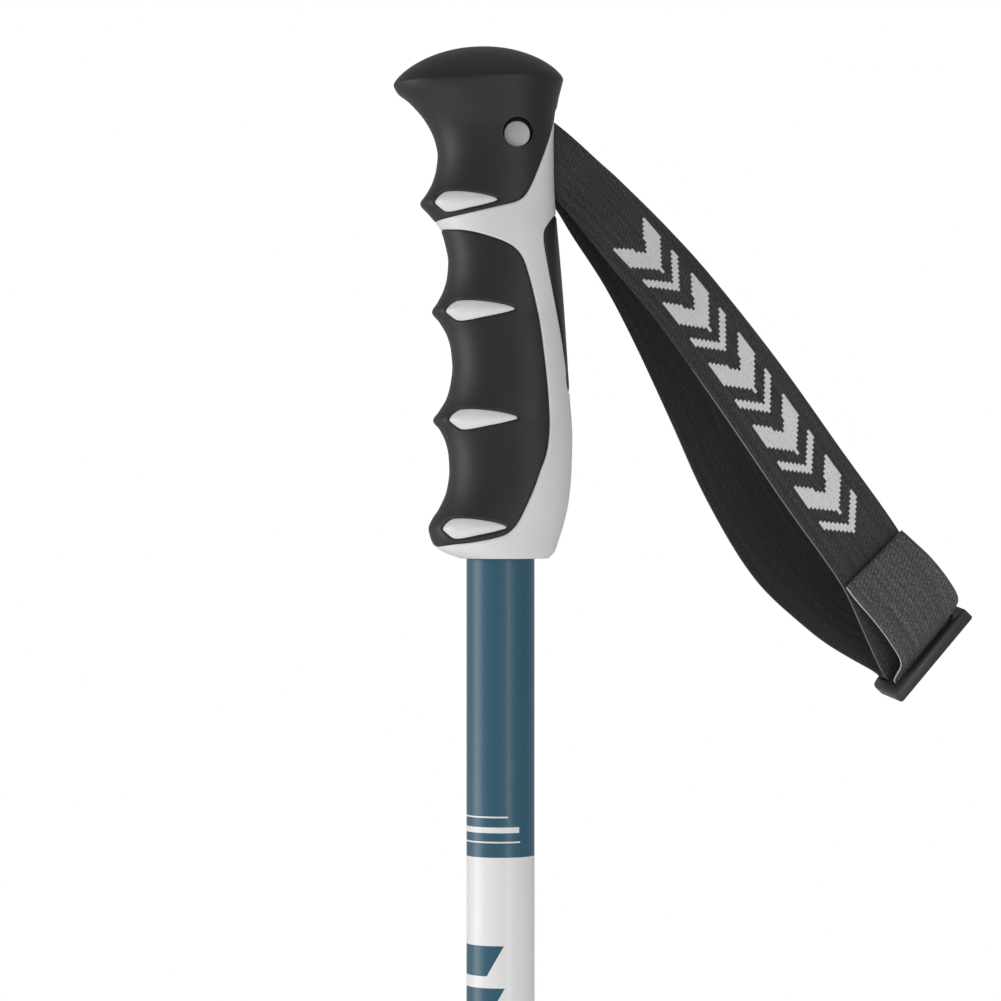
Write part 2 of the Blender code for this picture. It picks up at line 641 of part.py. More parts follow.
def make_tip():
    """The moulded ferrule on the shaft's end, and the hardened spike in its nose."""
    spike = TIP_DIAMETER / 2
    add("tip_spike", turned_solid(
        [(spike * 0.76, 0), (spike, 1.2 * MM), (spike, TIP_OUT + TIP_HELD - FIT_GAP)], 24), STEEL)
    bore = SHAFT_END_RADIUS + FIT_GAP
    sleeve = bore + FERRULE_WALL
    shoulder = SEAT_RADIUS + 2.4 * MM
    groove_top = SEAT_LOW + RETAINER_THICKNESS + 2 * FIT_GAP
    ferrule = add("tip_ferrule", turned_solid([
        (spike + 1.6 * MM, TIP_OUT),
        (spike + 2.6 * MM, TIP_OUT + 6 * MM),
        (SEAT_RADIUS - 1.6 * MM, SEAT_LOW - 18 * MM),
        (SEAT_RADIUS, SEAT_LOW - 6 * MM),
        (SEAT_RADIUS, SEAT_LOW),
        (SEAT_RADIUS - GROOVE, SEAT_LOW),
        (SEAT_RADIUS - GROOVE, groove_top),
        (SEAT_RADIUS, groove_top),
        (SEAT_RADIUS, SEAT_TOP),
        (shoulder, SEAT_TOP),
        (shoulder, SEAT_TOP + 2.2 * MM),
        (max(sleeve, SEAT_RADIUS) + 0.4 * MM, SEAT_TOP + 3.4 * MM),
        (sleeve, SEAT_TOP + FERRULE_FLOOR + FERRULE_SOCKET),
    ], 32), HARD_BLACK)
    socket = helper("cut_ferrule_socket", turned_solid(
        [(bore, SEAT_TOP + FERRULE_FLOOR), (bore, SEAT_TOP + FERRULE_FLOOR + 2 * FERRULE_SOCKET)], 32))
    hole = helper("cut_spike_hole", turned_solid(
        [(spike + FIT_GAP, 0), (spike + FIT_GAP, TIP_OUT + TIP_HELD)], 24))
    boolean(ferrule, "DIFFERENCE", socket, hole)


def make_basket():
    """The retaining ring in the ferrule's groove, and the basket that turns above it."""
    low = SEAT_LOW + FIT_GAP
    outer = SEAT_RADIUS + 1.8 * MM
    inner = SEAT_RADIUS - GROOVE + FIT_GAP
    add("basket_retainer", turned(
        [(outer, low), (outer, low + RETAINER_THICKNESS), (inner, low + RETAINER_THICKNESS), (inner, low)], 32), STEEL)

    hub_low = low + RETAINER_THICKNESS + FIT_GAP
    hub_high = SEAT_TOP - FIT_GAP
    spin = pivot("basket_axis", Matrix.Translation((0, 0, hub_low)))
    height = hub_high - hub_low
    bore = SEAT_RADIUS + FIT_GAP
    wall = bore + HUB_WALL
    flange = wall + 2.2 * MM
    seat = 3 * MM
    groove = (seat, seat + BASKET_THICKNESS + 2 * FIT_GAP)
    add("basket_hub", turned([
        (bore, 0), (flange, 0), (flange, groove[0]), (wall, groove[0]), (wall, groove[1]),
        (flange, groove[1]), (flange, groove[1] + 2 * MM), (wall, height), (bore, height)], 36), HARD_BLACK, spin)

    radius = BASKET_DIAMETER / 2
    under = groove[0] + FIT_GAP
    top = under + BASKET_THICKNESS
    cone = flange + FIT_GAP + 0.8 * MM
    rim = 3.5 * MM
    disc = add("basket_disc", turned([
        (wall + FIT_GAP, under), (cone, under), (radius - rim, under - 3 * MM), (radius, under - 5 * MM),
        (radius, under - 2.5 * MM), (radius - rim, under - 0.8 * MM), (cone, top), (wall + FIT_GAP, top)],
        48), RUBBER, spin)
    middle = (cone + radius - rim) / 2
    for k in range(WINDOW_COUNT):
        turn = Matrix.Rotation(2 * math.pi * k / WINDOW_COUNT, 4, "Z") @ Matrix.Translation((middle, 0, 0))
        cutter = turned_solid([(WINDOW_DIAMETER / 2, -20 * MM), (WINDOW_DIAMETER / 2, 20 * MM)], 16)
        bmesh.ops.transform(cutter, matrix=turn, verts=cutter.verts)
        boolean(disc, "DIFFERENCE", helper(f"cut_window_{k}", cutter, spin))


for leftover in list(bpy.data.objects):
    bpy.data.objects.remove(leftover, do_unlink=True)

WHITE = finish("white_core_plastic", (0.72, 0.72, 0.73), 0.38)
BLACK = finish("black_soft_grip", (0.035, 0.035, 0.036), 0.6)
HARD_BLACK = finish("black_hard_plastic", (0.02, 0.02, 0.021), 0.42)
GREY = finish("grey_pin_plastic", (0.38, 0.38, 0.38), 0.35)
WEBBING = finish("black_webbing", (0.03, 0.03, 0.03), 0.85)
TEAL = finish("teal_painted_aluminium", (0.04, 0.11, 0.17), 0.3)
STEEL = finish("hardened_steel", (0.55, 0.55, 0.56), 0.3, 1.0)
RUBBER = finish("black_basket_elastomer", (0.03, 0.03, 0.032), 0.55)
CUTTER = finish("cutter", (0.8, 0.2, 0.2), 0.5)

pin_axis = make_grip(tongue_sweep())
make_pin(pin_axis)
make_strap(pin_axis)
make_buckle(pin_axis)
make_shaft()
make_tip()
make_basket()
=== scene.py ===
"""Alpine ski pole: the finished pieces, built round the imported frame.

-X is the fingers' side of the grip, the strap leaves towards +X, and -Y is the pin's head side.
Tables of the grip's form and of the strap's route are in millimetres, and everything else is in metres.
"""

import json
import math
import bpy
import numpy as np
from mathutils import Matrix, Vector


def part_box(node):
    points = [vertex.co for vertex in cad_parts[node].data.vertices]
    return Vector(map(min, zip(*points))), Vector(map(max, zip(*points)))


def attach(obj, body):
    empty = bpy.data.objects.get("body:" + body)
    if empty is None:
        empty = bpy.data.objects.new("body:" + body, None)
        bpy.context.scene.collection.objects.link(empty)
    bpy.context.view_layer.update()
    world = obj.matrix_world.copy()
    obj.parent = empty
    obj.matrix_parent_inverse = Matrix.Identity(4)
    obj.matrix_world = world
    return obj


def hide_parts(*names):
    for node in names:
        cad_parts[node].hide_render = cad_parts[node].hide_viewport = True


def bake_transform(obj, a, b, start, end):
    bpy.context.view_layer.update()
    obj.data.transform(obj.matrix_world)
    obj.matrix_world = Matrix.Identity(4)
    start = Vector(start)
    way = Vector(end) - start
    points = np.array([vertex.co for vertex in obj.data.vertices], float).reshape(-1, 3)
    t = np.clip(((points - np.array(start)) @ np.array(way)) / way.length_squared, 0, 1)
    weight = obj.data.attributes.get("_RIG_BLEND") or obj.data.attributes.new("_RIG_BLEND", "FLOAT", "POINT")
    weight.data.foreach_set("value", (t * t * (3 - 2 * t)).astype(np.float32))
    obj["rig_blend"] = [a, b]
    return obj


bl_info = {
    "name": "Ski Pole",
    "version": (1, 0, 0),
    "blender": (4, 5, 0),
    "location": "3D Viewport > Sidebar > Ski Pole",
    "description": "Builds the grip, wrist strap, shaft, tip and basket of an alpine ski pole",
    "category": "Object",
}

import bmesh
import bpy
import numpy as np
from mathutils import Matrix, Vector
from mathutils.bvhtree import BVHTree
from mathutils.geometry import convex_hull_2d

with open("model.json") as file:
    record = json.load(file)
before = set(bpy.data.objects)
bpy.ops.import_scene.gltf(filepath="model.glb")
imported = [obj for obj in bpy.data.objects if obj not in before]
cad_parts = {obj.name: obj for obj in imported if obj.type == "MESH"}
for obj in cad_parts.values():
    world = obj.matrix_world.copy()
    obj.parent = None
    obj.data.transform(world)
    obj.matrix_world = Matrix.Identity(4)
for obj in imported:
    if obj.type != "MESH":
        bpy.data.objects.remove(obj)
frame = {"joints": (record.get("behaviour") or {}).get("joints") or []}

MM = 0.001
PIN = Vector(next(joint["pos_m"] for joint in frame["joints"] if joint["name"] == "strap_swing"))
GRIP_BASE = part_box("grip_core")[0].z
SHAFT_RADIUS = (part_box("shaft_tube")[1].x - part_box("shaft_tube")[0].x) / 2
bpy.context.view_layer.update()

# ---------------------------------------------------------------- the grip's form

# How far the grip stands out from the shaft, in millimetres, at heights above its underside.
FRONT_WALL = [
    (0, 1.6), (1.6, 6.1), (3.4, 8.5), (5.8, 9.6), (7.9, 10.0), (10.1, 9.2), (13.2, 7.2), (18, 5.2),
    (23, 4.5), (27, 4.7), (30.7, 5.5), (33.9, 7.0), (36.4, 8.8), (38.9, 7.2), (42.4, 5.2),
    (46.1, 4.2), (50.3, 3.7), (55.1, 4.1), (58.8, 5.1), (62.5, 7.2), (65.1, 9.1), (67.5, 7.7),
    (70.7, 6.1), (74.4, 5.1), (78.4, 4.8), (82.9, 5.6), (86.3, 6.6), (88.8, 8.2), (91.1, 10.1),
    (93.7, 12.2), (96.1, 10.7), (99, 9.1), (102.7, 8.0), (106.4, 7.6), (110.6, 8.4), (115.9, 10.9),
    (121.2, 15.2), (124, 18.4), (125.8, 19.3),
]
REAR_WALL = [
    (0, 3.7), (1.9, 5.4), (4.8, 6.4), (9, 7.7), (15.4, 9.1), (23.3, 9.8), (32.3, 10.0), (41.8, 9.4),
    (55.1, 8.5), (68.3, 7.6), (81.5, 6.5), (90.8, 5.7), (100.1, 5.2), (110.6, 5.1), (116.5, 5.6),
    (121.2, 6.4), (125.8, 7.6),
]
SIDE_WALL = [
    (0, 2.6), (2, 3.7), (6, 4.8), (14, 5.3), (30, 5.1), (60, 5.0), (85, 4.6), (104, 4.3),
    (112, 4.9), (120, 6.8), (125.8, 8.3),
]
RIM_HEIGHT = 125.8
TOP_HEIGHT = 135.3
RIM_TILT = 0.035
TILT_FROM, TILT_SPAN = 110, 14
DOME_POWER, DOME_BEND = 1.4, math.radians(88.5)
SECTION_POWER = 2.3
WALL_RINGS, DOME_RINGS, AROUND = 230, 30, 144
CREASE_RINGS, CREASE_PASSES = 3, 2

# Outlines of the covers on the side of the grip: millimetres forward of the axis and above the base.
HEAD_OUTLINE = [
    (-45, 150), (-45, 88.3), (-20.1, 88.5), (-15.4, 89.2), (-10.5, 90.1), (-5.2, 91.2), (-0.9, 92.2),
    (2.9, 93.1), (5.2, 94.0), (6.8, 95.4), (8.5, 98.4), (10.8, 104.0), (12.9, 109.9), (14.5, 115.8),
    (15.6, 119.5), (30, 125), (30, 150),
]
FINGER_OUTLINE = [
    (-40, 86.3), (-12.2, 86.4), (-7.7, 85.8), (-3.2, 84.6), (1.0, 83.1), (3.9, 81.4), (5.9, 78.9),
    (7.4, 74.9), (8.9, 69.4), (10.4, 62.6), (11.5, 54.8), (12.3, 48), (12.9, 41), (13.1, 34.9),
    (12.7, 30), (12.0, 26.7), (10.7, 23.3), (8.9, 18.3), (6.7, 13.4), (4.8, 9.7), (2.9, 7.4),
    (0.8, 6.1), (-4.5, 4.8), (-11.9, 3.8), (-40, 2.6),
]
PAD_OUTLINE = [
    (40, 92.6), (16.6, 92.1), (14.8, 90.8), (12.6, 87.9), (11.6, 86), (11.5, 83.4), (12.2, 78.9),
    (13.3, 73.1), (14.8, 65.6), (16.3, 57.4), (17.3, 50.8), (18.8, 43.1), (40, 30),
]
# A raised boss, blunt at the front and pointed at the rear, as shares of its length and height.
BOSS_OUTLINE = [
    (0, 0), (0.05, 0.26), (0.14, 0.47), (0.2, 0.51), (0.34, 0.52), (0.55, 0.46), (0.72, 0.38),
    (0.88, 0.27), (0.97, 0.17), (1, 0.11), (0.975, 0.04), (0.9, -0.03), (0.74, -0.16), (0.55, -0.28),
    (0.34, -0.42), (0.2, -0.46), (0.14, -0.40), (0.05, -0.17),
]
# Each boss's front end, height and length, in millimetres like the covers' outlines.
BOSSES = [(-17.35, 93.5, 16.7), (-14.5, 64.9, 18.4), (-13.6, 36.4, 18.3), (-15.3, 7.8, 17.1)]
BOSS_HEIGHT = 5.4
BOSS_CROWN = 0.55 * MM
BOSS_SHOULDER = 1.9 * MM

# Depth of the pocket under each cover, the cover in it, and the seam where the two surfaces roll in to meet.
OVERMOULD, COVER_THICKNESS = 2.0 * MM, 1.7 * MM
COVER_EDGE, CORE_WALL = -0.12 * MM, -0.06 * MM
COVER_PROUD, PROUD_REACH = 0.06 * MM, 0.7 * MM
SEAM_LIP, SEAM_REACH = 0.22 * MM, 0.2 * MM
# The surface is cut along lines at these millimetres from the covers' edges, so that the seams are crisp.
SEAM_LEVELS = (-0.8, -0.45, -0.25, -0.12, -0.06, 0, 0.12, 0.3, 0.6)

PIN_RADIUS, PIN_HEAD_RADIUS = 2.0 * MM, 3.4 * MM
PIN_OUT, PIN_HEAD_THICKNESS = 12.2 * MM, 2.4 * MM
PIN_SEAT_RADIUS, PIN_SEAT_FLOOR = 3.9 * MM, 9.5 * MM
# A black cup in each of the pin's seats, which paints shade on the seat's deep wall: its thickness, its
# overlap with the cover and its gap to the core.
SEAT_LINING, LINING_OVERLAP, LINING_GAP = 0.5 * MM, 0.3 * MM, 0.02 * MM
# The pin's head sits low in its seat, which leaves a dark gap above it.
PIN_HEAD_OFF = (-0.12 * MM, -0.95 * MM)
PIN_SEAT_OFF = (0.15 * MM, -0.5 * MM)
SLOT_HALF, TONGUE_ROOM = 1.95 * MM, 0.45 * MM
SWING, SWING_STEPS = math.radians(45), 6
# Corners of the room for the tongue at rest, in millimetres from the pin. The last is the slot's lower lip.
SLOT_CORNERS = [(22.8, -6.0), (11.5, 2.5), (10.6, -21.0), (16.5, -31.0)]
SOCKET_DEPTH = 83 * MM
FIT_GAP = 0.3 * MM
# Far enough to pass right through the grip.
THROUGH = 30 * MM

# ---------------------------------------------------------------- the strap's route

WEBBING_WIDTH, WEBBING_THICKNESS = 23.0 * MM, 1.4 * MM
TONGUE_RADIUS = 7.6 * MM
# Middle of the webbing in millimetres from the pin, direction across it, and its width.
FRONT_ROUTE = [
    ((-5.4, -0.8, 4.9), (0.69, 0, 0.72), 3.0),
    ((-4.6, -0.8, 4.2), (0.69, 0, 0.72), 8.6),
    ((-2.6, -0.8, 2.4), (0.69, 0, 0.72), 13.4),
    ((0.4, -0.8, 0.0), (0.69, 0, 0.72), 15.1),
    ((4.8, -0.8, -2.6), (0.69, 0, 0.72), 15.2),
    ((11.4, -0.8, -8.1), (0.69, 0, 0.72), 15.2),
    ((17.3, -0.9, -13.6), (0.69, 0.02, 0.72), 15.2),
    ((22.2, -3.0, -19.0), (0.65, 0.29, 0.70), 17.3),
    ((32.8, -8.2, -31.2), (0.61, 0.46, 0.65), 20.8),
    ((43.1, -11.8, -43.3), (0.60, 0.50, 0.63), 22.1),
    ((60.7, -12.8, -66.9), (0.63, 0.44, 0.64), 23),
    ((78.0, -8.0, -91.2), (0.66, 0.38, 0.65), 23),
    ((93.3, -1.8, -112.1), (0.67, 0.36, 0.65), 23),
    ((98.4, 1.3, -122.0), (0.67, 0.28, 0.68), 23),
]
BACK_ROUTE = [
    ((-5.4, 0.8, 4.9), (0.69, 0, 0.72), 3.0),
    ((-4.6, 0.8, 4.2), (0.69, 0, 0.72), 8.6),
    ((-2.6, 0.8, 2.4), (0.69, 0, 0.72), 13.4),
    ((0.4, 0.8, 0.0), (0.69, 0, 0.72), 15.1),
    ((4.8, 0.8, -2.6), (0.69, 0, 0.72), 15.2),
    ((10.8, 0.8, -8.6), (0.69, 0, 0.72), 15.2),
    ((16.1, 0.9, -15.0), (0.69, 0.02, 0.72), 15.2),
    ((20.3, 2.0, -20.9), (0.66, 0.29, 0.70), 17.4),
    ((29.4, 2.6, -33.1), (0.64, 0.42, 0.64), 20.5),
    ((37.8, 5.3, -47.5), (0.64, 0.44, 0.63), 22.1),
    ((48.1, 9.6, -68.3), (0.64, 0.44, 0.63), 23),
    ((58.0, 15.0, -89.3), (0.64, 0.42, 0.65), 23),
    ((71.4, 17.6, -110.5), (0.65, 0.36, 0.67), 23),
    ((86.0, 14.2, -123.8), (0.65, 0.25, 0.72), 23),
    ((92.0, 12.0, -128.0), (0.65, 0.20, 0.73), 23),
]
TAIL_ROUTE = [
    ((94.0, -4.1, -112.2), (0.67, 0.36, 0.65), 23),
    ((97.2, -4.1, -115.7), (0.68, 0.26, 0.68), 23),
    ((101.4, -4.0, -120.1), (0.69, 0.16, 0.70), 23),
    ((106.3, -3.1, -126.4), (0.69, 0.12, 0.71), 23),
    ((109.0, -1.4, -131.7), (0.67, 0.12, 0.73), 23),
]
# Between these two points each run passes from the strap's body to the buckle's.
FRONT_FOLLOWS = ((60.7, -12.8, -66.9), (92.0, -2.4, -110.3))
BACK_FOLLOWS = ((58.0, 15.0, -89.3), (86.0, 14.2, -123.8))

# The buckle's centre in millimetres from the pin, the way its bars run, and the way from near to far.
BUCKLE_CENTRE = (107.7, 3.5, -137.0)
BUCKLE_ALONG = (0.645, 0.12, 0.755)
BUCKLE_DEPTH = (-0.33, 0.93, 0.13)
HALF_BAR, HALF_DEPTH = 1.3 * MM, 1.6 * MM
NEAR_SLOT, FAR_SLOT = 2.4 * MM, 4.0 * MM
BUCKLE_SIDE = 2.9 * MM
# How far the tail's plies and the rear bar stand from the middle bar's centre.
LEG, ANCHOR = 2.5 * MM, 6.6 * MM

STEPS_ACROSS, EDGE_ROUNDING = 12, 10
EASING_PASSES = 14
# How far apart the webbing's sections are, and how much of the strap is inside the grip's slot.
STRAP_SPACING, TAIL_SPACING, IN_SLOT = 0.9 * MM, 0.6 * MM, 19 * MM
# The tail's doubled end: how much thicker it is, and how short its step and its rounded end are.
HEM_SWELL, HEM_STEP, HEM_ROUNDING = 1.5, 0.8 * MM, 0.7 * MM
WAVE, WAVE_LENGTH = 0.15 * MM, 9 * MM
# Each stitch's radius, its share of the room it has, how far it is sunk, and the row's place and number.
STITCH_RADIUS, STITCH_SHARE, STITCH_SUNK = 0.26 * MM, 0.72, 0.08 * MM
HEM_INSET, STITCHES = 1.8 * MM, 9
# An edge sharper than this many degrees is shaded as an edge; a bevelled one has its own limit.
SHARP, BEVELLED_SHARP = 38, 60
FLUTES = 8

# ---------------------------------------------------------------- what the materials are drawn with

CLOUD_SIZE, CLOUDING = 28 * MM, 0.06
ROUGH_SPREAD = 0.05
THREAD_PITCH, WEAVE_DEPTH = 0.55 * MM, 0.16 * MM
FUZZ_SIZE = 0.7 * MM
STREAK_WIDTH, STREAK_STRETCH = 1.3 * MM, 0.03
# Width of the painted highlight along the webbing's lower selvedge.
SELVEDGE_HIGHLIGHT = 0.16 * MM
# The woven motif: its step of two threads, and each pair of chevrons as shares of its period.
MOTIF_STEP = 0.9 * MM
CHEVRON_PERIOD, CHEVRON_REACH, CHEVRON_SLANT = 19.8 * MM, 6.6 * MM, 1.05
BROAD_SHARE, NARROW_AT, NARROW_HALF = 0.36, 0.64, 0.075
FLAG_SLOPE = 0.58
FLAKE_SIZE = 9 * MM
PEEL_SIZE, PEEL_DEPTH = 2.4 * MM, 0.012 * MM
RING_STRETCH, RING_DEPTH = 0.06, 0.02 * MM
FIBRE_SIZE = MM / 0.9


# ---------------------------------------------------------------- colour and node helpers


def linear(code):
    """An sRGB hex colour as linear red, green and blue."""
    shares = (int(code[i:i + 2], 16) / 255 for i in (0, 2, 4))
    return tuple(c / 12.92 if c <= 0.04045 else ((c + 0.055) / 1.055) ** 2.4 for c in shares)


def tint(colour, by=1.0):
    """A colour with its alpha, made paler or darker by a factor."""
    return (*(min(1.0, channel * by) for channel in colour), 1.0)


def set_inputs(tree, node, inputs):
    """Each input is a value to set on the node's own socket, or another node's output to link."""
    for socket, value in inputs.items():
        if isinstance(value, bpy.types.NodeSocket):
            tree.links.new(value, node.inputs[socket])
        else:
            node.inputs[socket].default_value = value


def add_node(tree, kind, inputs, **settings):
    """Adds a shader node with its settings and inputs, and returns its outputs."""
    made = tree.nodes.new("ShaderNode" + kind)
    for name, value in settings.items():
        setattr(made, name, value)
    set_inputs(tree, made, inputs)
    return made.outputs


def new_material(name, **sockets):
    """A material with these values on its shader's own sockets, its node tree and its shader."""
    material = bpy.data.materials.new(name)
    material.use_nodes = True
    shader = material.node_tree.nodes["Principled BSDF"]
    for socket, value in sockets.items():
        shader.inputs[socket.replace("_", " ")].default_value = value
    return material, material.node_tree, shader


# ---------------------------------------------------------------- materials


def moulded_material(name, colour, roughness, grain_mm, grain_depth, ior):
    """An injection-moulded plastic: even colour, faint flow clouding and its tool's spark-eroded grain."""
    material, tree, shader = new_material(name, IOR=ior)
    place = add_node(tree, "TexCoord", {})["Object"]
    cloud = add_node(tree, "TexNoise", {"Vector": place, "Scale": 1 / CLOUD_SIZE, "Detail": 2.0})["Fac"]
    grain = add_node(tree, "TexNoise",
                     {"Vector": place, "Scale": 1 / (grain_mm * MM), "Detail": 3.0, "Roughness": 0.6})["Fac"]
    set_inputs(tree, shader, {
        "Base Color": add_node(tree, "Mix", {
            "Factor": cloud, "A": tint(colour, 1 - CLOUDING), "B": tint(colour, 1 + CLOUDING)},
            data_type="RGBA")["Result"],
        "Roughness": add_node(tree, "MapRange", {
            "Value": grain, "To Min": roughness - ROUGH_SPREAD, "To Max": roughness + ROUGH_SPREAD})[0],
        "Normal": add_node(tree, "Bump", {"Height": grain, "Distance": grain_depth, "Strength": 1.0})[0],
    })
    return material


def webbing_material(name, ground, thread, motif_colour=None, reach=None):
    """Nylon webbing, woven flat: dark threads whose crowns catch the light, with darker gaps between.

    The threads of such webbing are 0.45 mm apart. They are drawn 0.55 mm apart so that they show.
    """
    material, tree, shader = new_material(name, IOR=1.53, Sheen_Weight=0.12, Sheen_Roughness=0.5)
    uv = add_node(tree, "UVMap", {}, uv_map="webbing")["UV"]
    place = add_node(tree, "SeparateXYZ", {"Vector": uv})
    along, across = place["X"], place["Y"]
    rows, ends = (
        add_node(tree, "Math", {0: way, 1: THREAD_PITCH}, operation="DIVIDE")[0] for way in (along, across))
    # Each end of yarn is stepped half a row from its neighbour, which gives the fine slanting ribs.
    stepped = add_node(tree, "Math", {0: ends, 1: 0.5, 2: rows}, operation="MULTIPLY_ADD")[0]
    crown = add_node(tree, "Math", {0: stepped, 1: 1.0}, operation="PINGPONG")[0]
    rib = add_node(tree, "Math", {0: ends, 1: 0.5}, operation="PINGPONG")[0]
    weave = add_node(tree, "Math", {0: crown, 1: rib}, operation="MULTIPLY")[0]
    # Loose fibres light some crowns and shade others.
    fuzz = add_node(tree, "TexNoise",
                    {"Vector": uv, "Scale": 1 / FUZZ_SIZE, "Detail": 3.0, "Roughness": 0.75})["Fac"]
    uneven = add_node(tree, "MapRange", {
        "Value": fuzz, "From Min": 0.36, "From Max": 0.66, "To Min": 0.3, "To Max": 2.4})[0]
    # Ends of yarn that stand a little proud run the whole length of the webbing as faint streaks.
    lengthwise = add_node(tree, "Mapping", {"Vector": uv, "Scale": (STREAK_STRETCH, 1.0, 1.0)})["Vector"]
    streak = add_node(tree, "TexNoise", {"Vector": lengthwise, "Scale": 1 / STREAK_WIDTH})["Fac"]
    streaks = add_node(tree, "MapRange", {
        "Value": streak, "From Min": 0.32, "From Max": 0.68, "To Min": 0.55, "To Max": 1.45})[0]
    grain = add_node(tree, "Math", {0: uneven, 1: streaks}, operation="MULTIPLY")[0]
    softer = add_node(tree, "Math", {0: weave, 1: 0.75, 2: 0.14}, operation="MULTIPLY_ADD")[0]
    lit = add_node(tree, "Math", {0: softer, 1: grain}, operation="MULTIPLY", use_clamp=True)[0]
    colour = add_node(tree, "Mix", {"Factor": lit, "A": tint(ground), "B": tint(thread)},
                      data_type="RGBA")["Result"]
    # A painted highlight: a thin pale line along the lower selvedge only, where the webbing's rounded edge
    # faces the light.
    edge = SELVEDGE_HIGHLIGHT - WEBBING_WIDTH / 2
    rim = add_node(tree, "Math", {0: across, 1: edge}, operation="LESS_THAN")[0]
    colour = add_node(tree, "Mix", {"Factor": rim, "A": colour, "B": tint(thread, 2.4)},
                      data_type="RGBA")["Result"]
    if motif_colour:
        mask = motif_mask(tree, along, across, *reach)
        # Dark ground shows between the motif's long pale floats.
        floats = add_node(tree, "Math", {0: weave, 1: fuzz}, operation="ADD")[0]
        broken = add_node(tree, "MapRange", {"Value": floats, "From Min": 0.36, "From Max": 0.5})[0]
        shades = {"A": tint(motif_colour, 0.42), "B": tint(motif_colour)}
        pale = add_node(tree, "Mix", {"Factor": broken, **shades}, data_type="RGBA")["Result"]
        colour = add_node(tree, "Mix", {"Factor": mask, "A": colour, "B": pale}, data_type="RGBA")["Result"]
    set_inputs(tree, shader, {
        "Base Color": colour,
        "Roughness": add_node(tree, "MapRange", {"Value": lit, "To Min": 0.85, "To Max": 0.62})[0],
        "Normal": add_node(tree, "Bump", {"Height": lit, "Distance": WEAVE_DEPTH, "Strength": 1.0})[0],
    })
    return material


def motif_mask(tree, along, across, start, end):
    """1 inside a plain row of paired chevrons woven across the middle of the webbing.

    Both coordinates are rounded to pairs of threads first, so the edges step from pair to pair.
    """
    row, column = (
        add_node(tree, "Math", {
            0: add_node(tree, "Math", {0: way, 1: MOTIF_STEP}, operation="DIVIDE")[0]}, operation="ROUND")[0]
        for way in (along, across))
    off = add_node(tree, "Math", {0: column}, operation="ABSOLUTE")[0]
    lagged = add_node(tree, "Math", {0: off, 1: CHEVRON_SLANT, 2: row}, operation="MULTIPLY_ADD")[0]
    moved = add_node(tree, "Math", {0: lagged, 1: start / MOTIF_STEP}, operation="SUBTRACT")[0]
    phase = add_node(tree, "Math", {0: moved, 1: CHEVRON_PERIOD / MOTIF_STEP}, operation="DIVIDE")[0]
    share = add_node(tree, "Math", {0: phase}, operation="FRACT")[0]
    broad = add_node(tree, "Math", {0: share, 1: BROAD_SHARE}, operation="LESS_THAN")[0]
    narrow = add_node(tree, "Math", {0: share, 1: NARROW_AT, 2: NARROW_HALF}, operation="COMPARE")[0]
    bars = add_node(tree, "Math", {0: broad, 1: narrow}, operation="MAXIMUM")[0]
    inner = add_node(tree, "Math", {0: off, 1: CHEVRON_REACH / MOTIF_STEP}, operation="LESS_THAN")[0]
    half = round((end - start) / CHEVRON_PERIOD) / 2
    within = add_node(tree, "Math", {0: phase, 1: half, 2: half - 0.001}, operation="COMPARE")[0]
    both = add_node(tree, "Math", {0: bars, 1: inner}, operation="MULTIPLY")[0]
    return add_node(tree, "Math", {0: both, 1: within}, operation="MULTIPLY")[0]


def lacquered_tube_material(settings):
    """Drawn aluminium tube under lacquer: teal over a white ground coat, with a thin clear coat on top."""
    material, tree, shader = new_material(
        "aluminium_tube_lacquered", Roughness=0.42, IOR=1.5, Coat_Weight=0.1, Coat_Roughness=0.2)
    place = add_node(tree, "TexCoord", {})["Object"]
    xyz = add_node(tree, "SeparateXYZ", {"Vector": place})
    z = xyz["Z"]
    ahead = add_node(tree, "Math", {0: xyz["Y"], 1: -1.0}, operation="MULTIPLY")[0]
    turn = add_node(tree, "Math", {0: xyz["X"], 1: ahead}, operation="ARCTAN2")[0]
    round_it = add_node(tree, "Math", {0: turn, 1: SHAFT_RADIUS}, operation="MULTIPLY")[0]
    upper = add_node(tree, "Math", {0: z, 1: settings.break_height}, operation="GREATER_THAN")[0]
    lower = add_node(tree, "Math", {0: z, 1: settings.lower_break}, operation="LESS_THAN")[0]
    painted = add_node(tree, "Math", {0: upper, 1: lower}, operation="MAXIMUM")[0]
    # Teal flags with slanting ends, then pale rules where the teal is left open over the ground coat.
    flags, rules = settings.flags(), settings.rules()
    for bands, slope, join in ((flags, FLAG_SLOPE, "MAXIMUM"), (rules, 0.0, "SUBTRACT")):
        for middle, half, end in bands:
            straight = end - middle * slope
            edge = add_node(tree, "Math", {0: z, 1: slope, 2: straight}, operation="MULTIPLY_ADD")[0]
            short = add_node(tree, "Math", {0: round_it, 1: edge}, operation="LESS_THAN")[0]
            level = add_node(tree, "Math", {0: z, 1: middle, 2: half}, operation="COMPARE")[0]
            band = add_node(tree, "Math", {0: short, 1: level}, operation="MULTIPLY")[0]
            painted = add_node(tree, "Math", {0: painted, 1: band}, operation=join)[0]
    flake = add_node(tree, "TexNoise", {"Vector": place, "Scale": 1 / FLAKE_SIZE, "Detail": 3.0})["Fac"]
    paint = settings.paint_colour
    teal = add_node(tree, "Mix", {"Factor": flake, "A": tint(paint, 0.95), "B": tint(paint, 1.05)},
                    data_type="RGBA")["Result"]
    peel = add_node(tree, "TexNoise", {"Vector": place, "Scale": 1 / PEEL_SIZE, "Detail": 1.0})["Fac"]
    set_inputs(tree, shader, {
        "Base Color": add_node(tree, "Mix", {"Factor": painted, "A": tint(settings.ground_colour), "B": teal},
                               data_type="RGBA")["Result"],
        "Normal": add_node(tree, "Bump", {"Height": peel, "Distance": PEEL_DEPTH, "Strength": 1.0})[0],
    })
    return material


